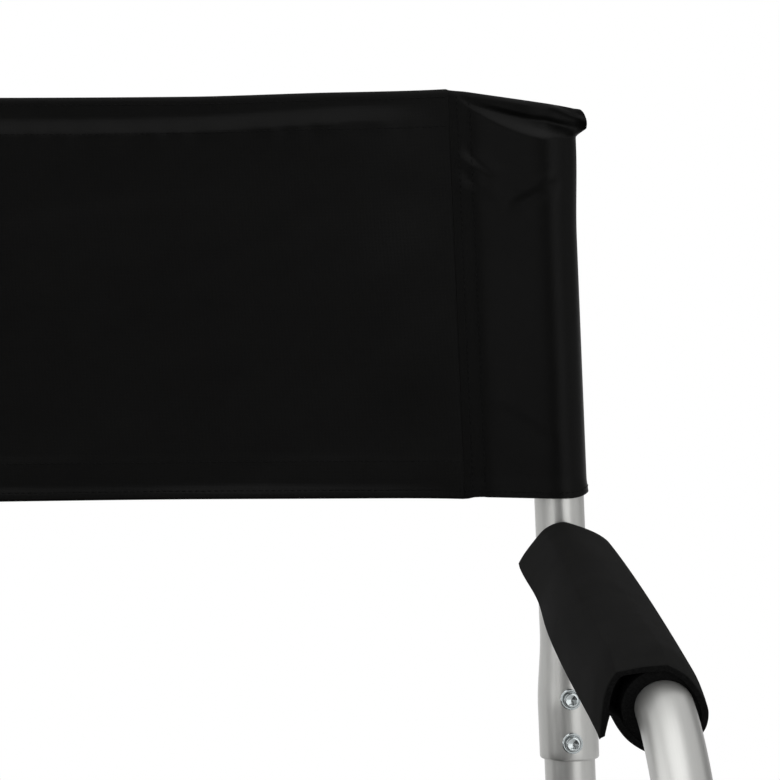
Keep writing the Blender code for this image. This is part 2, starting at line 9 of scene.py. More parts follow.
import bmesh
import bpy
import numpy as np
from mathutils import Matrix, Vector


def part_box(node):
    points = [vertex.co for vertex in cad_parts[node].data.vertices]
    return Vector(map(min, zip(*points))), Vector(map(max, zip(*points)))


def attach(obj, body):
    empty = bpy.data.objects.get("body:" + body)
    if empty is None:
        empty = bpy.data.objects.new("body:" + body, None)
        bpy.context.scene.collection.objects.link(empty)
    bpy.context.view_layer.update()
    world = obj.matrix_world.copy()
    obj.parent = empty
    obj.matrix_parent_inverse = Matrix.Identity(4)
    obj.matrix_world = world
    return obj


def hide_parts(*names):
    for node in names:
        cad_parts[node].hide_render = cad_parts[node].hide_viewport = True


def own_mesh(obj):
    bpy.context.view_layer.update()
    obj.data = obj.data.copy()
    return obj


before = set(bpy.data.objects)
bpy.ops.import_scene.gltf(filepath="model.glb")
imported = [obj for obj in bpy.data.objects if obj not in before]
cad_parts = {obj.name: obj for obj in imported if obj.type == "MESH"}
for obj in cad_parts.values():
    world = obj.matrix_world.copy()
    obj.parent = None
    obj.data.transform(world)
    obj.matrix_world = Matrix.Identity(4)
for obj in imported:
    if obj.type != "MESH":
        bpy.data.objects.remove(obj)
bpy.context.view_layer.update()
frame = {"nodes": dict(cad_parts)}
LOG = logging.getLogger("directors_chair")
MM = 0.001
Array = np.ndarray
Material, NodeTree, Object, Socket = bpy.types.Material, bpy.types.NodeTree, bpy.types.Object, bpy.types.NodeSocket
Pair, Triple = tuple[float, float], tuple[float, float, float]
CLOTH_MAP = "cloth"
THREAD_SLOT = 1


def smooth_step(value: Array | float) -> Array:
    """Eases a value from 0 to 1 and holds it outside that span."""
    t = np.clip(value, 0.0, 1.0)
    return t * t * (3 - 2 * t)


def unit(vectors: Array) -> Array:
    """Vectors scaled to length one along their last axis."""
    return vectors / np.maximum(np.linalg.norm(vectors, axis=-1, keepdims=True), 1e-12)


def travel(points: Array) -> Array:
    """Distance along a line of points, starting at zero."""
    steps = np.linalg.norm(np.diff(points, axis=0), axis=-1)
    return np.concatenate([[0.0], np.cumsum(steps)])


def evenly(points: Array, count: int) -> Array:
    """A line of points resampled at even distances.

    Args:
        points: the line, one point a row.
        count: how many points to return.

    Returns:
        The resampled line.
    """
    along = travel(points)
    wanted = np.linspace(0, along[-1], count)
    return np.stack([np.interp(wanted, along, points[:, k]) for k in range(points.shape[1])], axis=-1)


class Side(Enum):
    """The two mirrored sides of the chair."""

    LEFT = 1
    RIGHT = -1

    @property
    def label(self) -> str:
        """The side's word in node names."""
        return self.name.lower()

    @property
    def frame_body(self) -> str:
        """The body of this side's legs, post and arm."""
        return f"{self.label}_frame"

    @property
    def seat_body(self) -> str:
        """The body of this side's seat rail."""
        return f"{self.label}_seat"


@dataclass(frozen=True)
class SideFrame:
    """Sizes that every piece of a side frame shares.

    A frame point is (out, y, z), where out is the distance outward from the frame's leaning plane.
    """

    half: float = 0.249
    arm_height: float = 0.610
    lean: float = math.tan(math.radians(2.2))
    rake: float = math.radians(4.0)
    arm_rise: float = math.radians(1.0)
    arm_run: float = 0.3235
    arm_bend: float = 0.112
    post_r: float = 0.0125
    leg_r: float = 0.0128

    @property
    def front_leg_y(self) -> float:
        """Where the front leg stands before the chair is set on the middle of its floor plan."""
        return -self.arm_run * math.cos(self.arm_rise) - self.arm_bend * (1 + math.sin(self.arm_rise))

    @property
    def depth(self) -> float:
        """The shift that sets the chair on the middle of its floor plan."""
        low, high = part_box("left_front_foot")
        return (low.y + high.y) / 2 - self.front_leg_y

    @property
    def forward(self) -> Array:
        """Square to the raked post, towards the front."""
        return np.array((0.0, -math.cos(self.rake), math.sin(self.rake)))

    def place(self, side: Side, points: Array) -> Array:
        """Frame points set on their side of the chair.

        Args:
            side: which side.
            points: frame points, any shape ending in 3.

        Returns:
            The same points in the chair's own metres.
        """
        out = self.half + (self.arm_height - points[..., 2]) * self.lean + points[..., 0]
        return np.stack([side.value * out, points[..., 1] + self.depth, points[..., 2]], axis=-1)

    def post(self, along: Array) -> Array:
        """Frame points on the axis of the post and rear leg, by height along it from the arm."""
        y, z = along * math.sin(self.rake), self.arm_height + along * math.cos(self.rake)
        return np.stack([0 * along, y, z], axis=-1)

    def beside_post(self, inward: Array, back: Array, along: Array) -> Array:
        """Frame points beside the post.

        Args:
            inward: distances inward from its axis.
            back: distances back from it.
            along: heights along it from the arm.

        Returns:
            The points.
        """
        points = self.post(along) - np.asarray(back)[..., None] * self.forward
        points[..., 0] -= inward
        return points

    def arm(self, along: Array) -> tuple[Array, Array]:
        """Frame points and directions along the arm tube's axis, from the post round the bend.

        Args:
            along: distances from the post's axis.

        Returns:
            The points and the unit directions.
        """
        along = np.asarray(along, float)
        past = along - self.arm_run
        turn = self.arm_rise - np.maximum(past, 0) / self.arm_bend
        run = self.arm_run + np.minimum(past, 0)
        y = -run * math.cos(self.arm_rise) + self.arm_bend * (np.sin(turn) - math.sin(self.arm_rise))
        z = self.arm_height + run * math.sin(self.arm_rise)
        z = z + self.arm_bend * (np.cos(turn) - math.cos(self.arm_rise))
        ahead = np.stack([0 * turn, -np.cos(turn), np.sin(turn)], axis=-1)
        return np.stack([0 * turn, y, z], axis=-1), ahead

    def round_arm(self, along: Array, inward: Array, up: Array) -> Array:
        """Frame points in sections square to the arm.

        Args:
            along: where the sections lie.
            inward: distances inward from the arm's axis.
            up: distances up from it.

        Returns:
            The points.
        """
        centre, ahead = self.arm(along)
        rise = np.cross(ahead, (1.0, 0.0, 0.0))
        points = centre + np.asarray(up)[..., None] * rise
        points[..., 0] -= inward
        return points


def fit(piece: Object, node: str, body: str) -> Object:
    """Sets a made piece in the place of its solid and on its body, and reports it.

    Args:
        piece: what was made.
        node: the solid that it stands for.
        body: the body that it moves with.

    Returns:
        The piece.
    """
    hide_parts(node)
    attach(piece, body)
    LOG.info("%s stands for %s", piece.name, node)
    return piece


class MeshKit:
    """Gathers patches of faces and turns them into one object."""

    def __init__(self) -> None:
        """Starts with no points and no faces."""
        self.faces: list[tuple[int, ...]] = []
        self._points: list[Array] = []
        self._maps: list[Array] = []
        self._slots: list[int] = []
        self._count = 0

    def _take(self, points: Array) -> Array:
        """Adds points.

        Args:
            points: points in any arrangement.

        Returns:
            Their numbers in the same arrangement.
        """
        flat = points.reshape(-1, 3)
        numbers = np.arange(len(flat)).reshape(points.shape[:-1]) + self._count
        self._points.append(flat)
        self._count += len(flat)
        return numbers

    def _face(self, numbers: tuple | Array, slot: int = 0, cloth: tuple | None = None) -> None:
        """Adds one face.

        Args:
            numbers: the numbers of its points.
            slot: its material slot.
            cloth: their flat places, if it has them.
        """
        self.faces.append(tuple(int(number) for number in numbers))
        self._maps.append(np.zeros((len(numbers), 2)) if cloth is None else np.array(cloth))
        self._slots.append(slot)

    def grid(self, points: Array, cloth: Array | None = None, wrap: bool = False, slot: int = 0) -> Array:
        """Adds a patch of four-sided faces over rows of points.

        Args:
            points: rows and columns of points.
            cloth: the flat place of each point in metres, with one more column where rows close.
            wrap: whether each row closes on itself.
            slot: the material slot of the faces.

        Returns:
            The numbers of the points.
        """
        numbers = self._take(points)
        rows, columns = numbers.shape
        for i in range(rows - 1):
            for j in range(columns if wrap else columns - 1):
                k = (j + 1) % columns
                places = None
                if cloth is not None:
                    places = (cloth[i, j], cloth[i, j + 1], cloth[i + 1, j + 1], cloth[i + 1, j])
                self._face((numbers[i, j], numbers[i, k], numbers[i + 1, k], numbers[i + 1, j]), slot, places)
        return numbers

    def cap(self, ring: Array, slot: int = 0) -> None:
        """Closes a ring of point numbers with one face."""
        self._face(ring, slot)

    def tube(self, rings: Array, cloth: Array | None = None, slot: int = 0) -> None:
        """Adds a closed skin through rings of points, with a face over each end.

        Args:
            rings: the rings, one a row.
            cloth: their flat places, if they have them.
            slot: the material slot.
        """
        numbers = self.grid(rings, cloth, wrap=True, slot=slot)
        self.cap(numbers[0], slot)
        self.cap(numbers[-1], slot)

    def bridge(self, first: Array, second: Array, wrap: bool = False) -> None:
        """Joins two lines of points of the same length with four-sided faces.

        Args:
            first: the numbers of one line's points.
            second: the numbers of the other's.
            wrap: whether the lines close on themselves.
        """
        count = len(first)
        for j in range(count if wrap else count - 1):
            k = (j + 1) % count
            self._face((first[j], first[k], second[k], second[j]))

    def between(self, outer: Array, inner: Array, slot: int = 0) -> None:
        """Fills the flat area between two rings of points.

        Args:
            outer: the outer ring.
            inner: the ring inside it.
            slot: the material slot.
        """
        bm = bmesh.new()
        for ring in (outer, inner):
            verts = [bm.verts.new(p) for p in ring]
            for a, b in zip(verts, verts[1:] + verts[:1]):
                bm.edges.new((a, b))
        bmesh.ops.triangle_fill(bm, edges=bm.edges, use_beauty=True)
        bm.verts.index_update()
        numbers = self._take(np.array([v.co for v in bm.verts]))
        for face in bm.faces:
            self._face([numbers[v.index] for v in face.verts], slot)
        bm.free()

    def build(self, name: str, materials: list[Material], sharp: float = 40.0) -> Object:
        """Makes the object, with patches that share an edge joined there.

        Args:
            name: the piece's name.
            materials: what the slots hold.
            sharp: edges sharper than this many degrees stay crisp.

        Returns:
            The new object, at the chair's origin.
        """
        mesh = bpy.data.meshes.new(name)
        mesh.from_pydata(np.concatenate(self._points).tolist(), [], self.faces)
        layer = mesh.uv_layers.new(name=CLOTH_MAP)
        layer.data.foreach_set("uv", np.concatenate(self._maps).astype(np.float32).ravel())
        mesh.polygons.foreach_set("material_index", np.array(self._slots, np.int32))
        bm = bmesh.new()
        bm.from_mesh(mesh)
        bmesh.ops.remove_doubles(bm, verts=bm.verts, dist=1e-6)
        bmesh.ops.recalc_face_normals(bm, faces=bm.faces)
        bm.to_mesh(mesh)
        bm.free()
        for material in materials:
            mesh.materials.append(material)
        mesh.shade_smooth()
        mesh.set_sharp_from_angle(angle=math.radians(sharp))
        piece = bpy.data.objects.new(name, mesh)
        bpy.context.scene.collection.objects.link(piece)
        return piece


def closer_rows(points: Array, count: int, close: float) -> Array:
    """Rows of points that follow the given ones on a smooth curve and lie closer together at both ends.

    Args:
        points: rows and columns of points, the rows evenly set.
        count: how many rows to return.
        close: how much closer the end rows lie, from 0 for evenly to 1.

    Returns:
        The new rows of points.
    """
    share = np.linspace(0, 1, count)
    share = share - close * np.sin(2 * math.pi * share) / (2 * math.pi)
    last = len(points) - 1
    low = np.clip(np.floor(share * last).astype(int), 0, last - 1)
    t = (share * last - low)[:, None, None]
    before, start, end, after = (points[np.clip(low + k, 0, last)] for k in (-1, 0, 1, 2))
    bend = (2 * before - 5 * start + 4 * end - after) * t ** 2
    turn = (3 * start - before - 3 * end + after) * t ** 3
    return start + 0.5 * ((end - before) * t + bend + turn)


def circle(count: int) -> Array:
    """Unit circle points as (cosine, sine) rows."""
    turns = 2 * math.pi * np.arange(count) / count
    return np.stack([np.cos(turns), np.sin(turns)], axis=-1)


def grid_map(points: Array) -> Array:
    """Flat places for open rows.

    Args:
        points: rows and columns of points.

    Returns:
        Distance along each row and down each column.
    """
    across = np.linalg.norm(np.diff(points, axis=1), axis=-1)
    down = np.linalg.norm(np.diff(points, axis=0), axis=-1)
    u = np.concatenate([np.zeros((len(points), 1)), np.cumsum(across, axis=1)], axis=1)
    v = np.concatenate([np.zeros((1, points.shape[1])), np.cumsum(down, axis=0)], axis=0)
    return np.stack([u, v], axis=-1)


def grid_normals(points: Array) -> Array:
    """Unit normals of a grid of points."""
    return unit(np.cross(np.gradient(points, axis=1), np.gradient(points, axis=0)))


def ring_map(points: Array) -> Array:
    """Flat places for rows that close on themselves, with one more column than the points."""
    return grid_map(np.concatenate([points, points[:, :1]], axis=1))


class NodeHand:
    """Adds nodes to one tree and joins them."""

    def __init__(self, tree: NodeTree) -> None:
        """Takes the tree to work on."""
        self.tree = tree

    def add(self, kind: str, values: dict | None = None, **settings: object) -> bpy.types.Node:
        """Adds a node.

        Args:
            kind: the node's type name.
            values: what its inputs hold or are joined to, by name or number.
            settings: other properties of the node.

        Returns:
            The node.
        """
        node = self.tree.nodes.new(kind)
        for key, value in settings.items():
            setattr(node, key, value)
        for key, value in (values or {}).items():
            self.set(node.inputs[key], value)
        return node

    def set(self, socket: Socket, value: object) -> None:
        """Joins a socket to another, or gives it a value.

        Args:
            socket: the input to set.
            value: an output to join it to, or what it holds.
        """
        if isinstance(value, Socket):
            self.tree.links.new(value, socket)
        else:
            socket.default_value = value

    def math(self, operation: str, *values: object) -> Socket:
        """The outcome of a sum on numbers."""
        return self.add("ShaderNodeMath", dict(enumerate(values)), operation=operation).outputs[0]

    def mix(self, share: object, low: object, high: object) -> Socket:
        """A number between two others."""
        return self.add("ShaderNodeMix", {0: share, 2: low, 3: high}, data_type="FLOAT").outputs[0]

    def tint(self, share: object, low: object, high: object) -> Socket:
        """A colour between two others."""
        return self.add("ShaderNodeMix", {0: share, 6: low, 7: high}, data_type="RGBA").outputs[2]

    def span(self, value: object, low: float, high: float, to_low: float = 0.0,
             to_high: float = 1.0) -> Socket:
        """A number carried from one span to another and held at its ends."""
        places = dict(enumerate((value, low, high, to_low, to_high)))
        return self.add("ShaderNodeMapRange", places, clamp=True).outputs[0]

    def noise(self, place: object, scale: float, detail: float, rough: float = 0.5) -> Socket:
        """A soft random field."""
        values = {"Vector": place, "Scale": scale, "Detail": detail, "Roughness": rough}
        return self.add("ShaderNodeTexNoise", values).outputs[0]

    def solid_place(self) -> Socket:
        """Places in the piece's own metres."""
        return self.add("ShaderNodeTexCoord").outputs["Object"]

    def cloth_place(self) -> Socket:
        """Flat places on a cloth or round a tube, in metres."""
        return self.add("ShaderNodeUVMap", uv_map=CLOTH_MAP).outputs[0]

    def effect(self, tree: NodeTree, values: dict) -> bpy.types.NodeOutputs:
        """Places a shared effect and returns its outputs by name."""
        return self.add("ShaderNodeGroup", values, node_tree=tree).outputs

    def relief(self, shader: bpy.types.Node, height: Socket, strength: float, depth: float) -> None:
        """Gives a shader fine relief from a height."""
        bump = self.add("ShaderNodeBump", {"Strength": strength, "Distance": depth, "Height": height})
        self.set(shader.inputs["Normal"], bump.outputs[0])


class Effects:
    """Surface effects that several finishes share, each one a node group that is made once."""

    @staticmethod
    def _start(name: str, inputs: dict[str, str], outputs: tuple[str, ...]) -> tuple:
        """Starts a group with named sockets.

        Args:
            name: the group's name.
            inputs: socket type by name.
            outputs: names of the number outputs.

        Returns:
            The tree, a hand on it, what the group is given and what it puts out.
        """
        tree = bpy.data.node_groups.new(name, "ShaderNodeTree")
        for key, kind in inputs.items():
            tree.interface.new_socket(key, in_out="INPUT", socket_type=kind)
        for key in outputs:
            tree.interface.new_socket(key, in_out="OUTPUT", socket_type="NodeSocketFloat")
        hand = NodeHand(tree)
        return tree, hand, hand.add("NodeGroupInput").outputs, hand.add("NodeGroupOutput").inputs

    @staticmethod
    @cache
    def woven_yarn() -> NodeTree:
        """Plain weave: the height of the crossing yarns, and a slow drift of tone.

        Returns:
            The group.
        """
        kinds = {"Place": "NodeSocketVector", "Pitch": "NodeSocketFloat"}
        tree, hand, given, result = Effects._start("woven yarn", kinds, ("Height", "Drift"))
        crown = 0.55
        parts = hand.add("ShaderNodeSeparateXYZ", {0: given["Place"]}).outputs
        counts = [hand.math("DIVIDE", parts[k], given["Pitch"]) for k in (0, 1)]
        turns = [hand.math("MULTIPLY", hand.math("FRACT", count), math.pi) for count in counts]
        waves = [hand.math("SINE", turn) for turn in turns]
        floors = [hand.math("FLOOR", count) for count in counts]
        over = hand.math("FLOORED_MODULO", hand.math("ADD", *floors), 2.0)
        crowns = [hand.math("MULTIPLY_ADD", wave, crown, 1 - crown) for wave in waves]
        warp = hand.math("MULTIPLY", waves[0], crowns[1])
        weft = hand.math("MULTIPLY", waves[1], crowns[0])
        hand.set(result["Height"], hand.mix(over, warp, weft))
        hand.set(result["Drift"], hand.noise(given["Place"], scale=60.0, detail=4.0, rough=0.6))
        return tree

    @staticmethod
    @cache
    def drawn_lines() -> NodeTree:
        """Fine lines left along a drawn or brushed metal piece, and a slow drift of its sheen.

        Returns:
            The group.
        """
        kinds = {"Place": "NodeSocketVector", "Stretch": "NodeSocketVector"}
        tree, hand, given, result = Effects._start("drawn lines", kinds, ("Lines", "Drift"))
        scaled = hand.add("ShaderNodeVectorMath", {0: given["Place"], 1: given["Stretch"]}, operation="MULTIPLY")
        hand.set(result["Lines"], hand.noise(scaled.outputs[0], scale=12.0, detail=3.0, rough=0.65))
        hand.set(result["Drift"], hand.noise(given["Place"], scale=9.0, detail=3.0))
        return tree

    @staticmethod
    @cache
    def handling() -> NodeTree:
        """Marks of use: rubbed edges, faint smears and specks.

        Returns:
            The group.
        """
        names = ("Rub", "Smear", "Speck")
        tree, hand, given, result = Effects._start("handling", {"Place": "NodeSocketVector"}, names)
        place = given["Place"]
        edge = hand.span(hand.add("ShaderNodeNewGeometry").outputs["Pointiness"], low=0.53, high=0.60)
        patches = hand.span(hand.noise(place, scale=140.0, detail=4.0), low=0.4, high=0.65)
        hand.set(result["Rub"], hand.math("MULTIPLY", edge, patches))
        smears = hand.noise(place, scale=22.0, detail=5.0, rough=0.6)
        hand.set(result["Smear"], hand.span(smears, low=0.42, high=0.72))
        specks = hand.noise(place, scale=900.0, detail=2.0)
        hand.set(result["Speck"], hand.span(specks, low=0.68, high=0.76))
        return tree


class Grain(Enum):
    """Which way a metal piece was drawn, as the fineness of its lines along each axis."""

    UPRIGHT = (90.0, 90.0, 1.2)
    LEVEL = (90.0, 1.2, 90.0)
    MAPPED = (90.0, 1.2, 1.0)
    EVEN = (60.0, 60.0, 60.0)


@dataclass(frozen=True)
class Finish:
    """What every finish has: a name, a colour, a roughness and how strongly it mirrors."""

    name: str
    colour: Triple
    roughness: float
    gloss: float = 0.5

    def start(self) -> tuple[Material, NodeHand, bpy.types.Node]:
        """A new material with its plain values set.

        Returns:
            The material, a hand on its nodes and its Principled shader.
        """
        material = bpy.data.materials.new(self.name)
        material.use_nodes = True
        material.diffuse_color = self.shade(1.0)
        shader = material.node_tree.nodes["Principled BSDF"]
        shader.inputs["Base Color"].default_value = self.shade(1.0)
        shader.inputs["Roughness"].default_value = self.roughness
        shader.inputs["Specular IOR Level"].default_value = self.gloss
        return material, NodeHand(material.node_tree), shader

    def shade(self, factor: float) -> tuple[float, float, float, float]:
        """The colour made lighter or darker."""
        return tuple(min(1.0, c * factor) for c in self.colour) + (1.0,)


@dataclass(frozen=True)
class Metal(Finish):
    """Bare metal with fine lines along it and edges rubbed bright."""

    grain: Grain = Grain.EVEN
    metal: float = 0.8
    line_depth: float = 0.010 * MM
    line_tone: float = 0.06
    line_rough: float = 0.06
    sheen_drift: float = 0.06
    smear_rough: float = 0.035
    rub: float = 0.5
    rub_tone: float = 1.35

    def material(self) -> Material:
        """Makes the finish.

        Returns:
            The material.
        """
        material, hand, shader = self.start()
        shader.inputs["Metallic"].default_value = self.metal
        solid = hand.solid_place()
        place = hand.cloth_place() if self.grain is Grain.MAPPED else solid
        lines = hand.effect(Effects.drawn_lines(), {"Place": place, "Stretch": self.grain.value})
        marks = hand.effect(Effects.handling(), {"Place": solid})
        tone = hand.tint(lines["Lines"], self.shade(1 - self.line_tone), self.shade(1 + self.line_tone))
        rubbed = hand.math("MULTIPLY", marks["Rub"], self.rub)
        hand.set(shader.inputs["Base Color"], hand.tint(rubbed, tone, self.shade(self.rub_tone)))
        level = self.roughness - self.sheen_drift / 2
        drift = hand.math("MULTIPLY_ADD", lines["Drift"], self.sheen_drift, level)
        fine = hand.math("MULTIPLY_ADD", lines["Lines"], self.line_rough, drift)
        hand.set(shader.inputs["Roughness"], hand.math("MULTIPLY_ADD", marks["Smear"], self.smear_rough, fine))
        hand.relief(shader, lines["Lines"], 1.0, self.line_depth)
        return material


@dataclass(frozen=True)
class Moulded(Finish):
    """Black moulded plastic with a fine spark-eroded surface."""

    pits: float = 2600.0
    depth: float = 0.03 * MM
    relief: float = 0.6
    pit_rough: float = 0.12
    smear_rough: float = -0.10
    rub: float = 0.6
    rub_tone: float = 2.6
    speck_tone: float = 1.8

    def material(self) -> Material:
        """Makes the finish.

        Returns:
            The material.
        """
        material, hand, shader = self.start()
        place = hand.solid_place()
        marks = hand.effect(Effects.handling(), {"Place": place})
        pitted = hand.noise(place, scale=self.pits, detail=2.0)
        rubbed = hand.tint(hand.math("MULTIPLY", marks["Rub"], self.rub), self.shade(1.0), self.shade(self.rub_tone))
        hand.set(shader.inputs["Base Color"], hand.tint(marks["Speck"], rubbed, self.shade(self.speck_tone)))
        rough = hand.math("MULTIPLY_ADD", marks["Smear"], self.smear_rough, self.roughness)
        hand.set(shader.inputs["Roughness"], hand.math("MULTIPLY_ADD", pitted, self.pit_rough, rough))
        hand.relief(shader, pitted, self.relief, self.depth)
        return material


@dataclass(frozen=True)
class Woven(Finish):
    """Woven cloth, seen yarn by yarn up close, with painted shade in the hollows of the weave and painted light on
    the crowns of the yarns.
    """

    pitch: float = 0.7 * MM
    depth: float = 0.16 * MM
    relief: float = 0.8
    hollow_shade_tone: float = 0.55
    crown_light_tone: float = 1.25
    drift: float = 0.35
    drift_tone: float = 1.5
    lint: float = 0.25
    lint_tone: float = 4.0
    yarn_rough: float = -0.12
    smear_rough: float = -0.05

    def material(self) -> Material:
        """Makes the finish.

        Returns:
            The material.
        """
        material, hand, shader = self.start()
        yarn = hand.effect(Effects.woven_yarn(), {"Pitch": self.pitch, "Place": hand.cloth_place()})
        marks = hand.effect(Effects.handling(), {"Place": hand.solid_place()})
        # Painted shade: the colour darkens in the hollows between the yarns and lightens on their crowns, by the
        # yarn's height.
        crossing = hand.tint(yarn["Height"], self.shade(self.hollow_shade_tone), self.shade(self.crown_light_tone))
        drift = hand.span(yarn["Drift"], low=0.3, high=0.7, to_high=self.drift)
        toned = hand.tint(drift, crossing, self.shade(self.drift_tone))
        lint = hand.math("MULTIPLY", marks["Speck"], self.lint)
        hand.set(shader.inputs["Base Color"], hand.tint(lint, toned, self.shade(self.lint_tone)))
        rough = hand.math("MULTIPLY_ADD", yarn["Height"], self.yarn_rough, self.roughness)
        hand.set(shader.inputs["Roughness"], hand.math("MULTIPLY_ADD", marks["Smear"], self.smear_rough, rough))
        hand.relief(shader, yarn["Height"], self.relief, self.depth)
        return material


@dataclass(frozen=True)
class Foam(Finish):
    """Open black foam, as it shows at a cut end, with painted shade in its cells and painted light on the cell walls.
    """

    cell: float = 0.9 * MM
    depth: float = 0.3 * MM
    relief: float = 0.7
    hollow_shade_tone: float = 0.4
    wall_light_tone: float = 1.4

    def material(self) -> Material:
        """Makes the finish.

        Returns:
            The material.
        """
        material, hand, shader = self.start()
        values = {"Vector": hand.solid_place(), "Scale": 1 / self.cell}
        cells = hand.add("ShaderNodeTexVoronoi", values).outputs["Distance"]
        # Painted shade: darker in the middle of each cell and lighter on the walls between the cells.
        tone = hand.tint(cells, self.shade(self.hollow_shade_tone), self.shade(self.wall_light_tone))
        hand.set(shader.inputs["Base Color"], tone)
        hand.relief(shader, cells, self.relief, self.depth)
        return material


@dataclass(frozen=True)
class Thread(Finish):
    """Twisted sewing thread."""

    plies: float = 1800.0
    dark_tone: float = 0.6
    light_tone: float = 1.5

    def material(self) -> Material:
        """Makes the finish.

        Returns:
            The material.
        """
        material, hand, shader = self.start()
        ply = hand.noise(hand.solid_place(), scale=self.plies, detail=2.0)
        hand.set(shader.inputs["Base Color"], hand.tint(ply, self.shade(self.dark_tone), self.shade(self.light_tone)))
        return material


class Finishes:
    """Every finish on the chair, made once."""

    satin: Triple = (0.392, 0.392, 0.380)
    bright: Triple = (0.40, 0.43, 0.435)
    soot: Triple = (0.016, 0.016, 0.017)

    def __init__(self) -> None:
        """Makes the materials."""
        self.tube = Metal("satin_post", self.satin, 0.28, grain=Grain.UPRIGHT).material()
        self.bent_tube = Metal("satin_arm", self.satin, 0.33, grain=Grain.MAPPED).material()
        self.rail = Metal("satin_rail", self.satin, 0.30, grain=Grain.LEVEL).material()
        self.bar = Metal("satin_bar", self.satin, 0.32, grain=Grain.EVEN).material()
        self.zinc = Metal("bright_zinc", self.bright, 0.20, metal=1.0, line_tone=0.10).material()
        self.plastic = Moulded("moulded_black", self.soot, 0.46).material()
        self.canvas = Woven("canvas_black", (0.0019, 0.0019, 0.0018), 0.40, gloss=0.058,
                            depth=0.040 * MM).material()
        self.pad = Woven("pad_cloth_black", (0.0092, 0.0092, 0.0090), 0.80, gloss=0.006, pitch=0.45 * MM,
                         depth=0.05 * MM).material()
        self.foam = Foam("foam_black", (0.0036, 0.0036, 0.0036), 0.95, gloss=0.05).material()
        self.thread = Thread("thread_black", (0.0020, 0.0020, 0.0020), 0.6, gloss=0.06).material()
        self.sewn = [self.canvas, self.thread]


@dataclass
class SidePart:
    """What every sub-assembly of one side has: its frame's sizes, its side and the chair's finishes."""

    frame: SideFrame
    side: Side
    finishes: Finishes

    def node(self, name: str) -> str:
        """A node's name on this side."""
        return f"{self.side.label}_{name}"

    def place(self, points: Array) -> Array:
        """Frame points set on this side of the chair."""
        return self.frame.place(self.side, points)


@dataclass(frozen=True)
class Rail:
    """A level rail of one side, running from front to rear."""

    kind: str
    z: float
    r: float
    x: float = 0.204

    def rings(self, side: Side, y: Array, radius: Array, count: int) -> Array:
        """Rings of points about the rail's axis.

        Args:
            side: which side of the chair.
            y: where each ring lies.
            radius: how large each ring is.
            count: how many points each has.

        Returns:
            The rings, one a row.
        """
        spin = circle(count)
        across, up = radius[:, None] * spin[None, :, 0], radius[:, None] * spin[None, :, 1]
        return np.stack([side.value * self.x + across, y[:, None] + 0 * across, self.z + up], axis=-1)


SEAT_RAIL = Rail("seat", z=0.425, r=0.0110)
LOW_RAIL = Rail("low", z=0.100, r=0.0095)


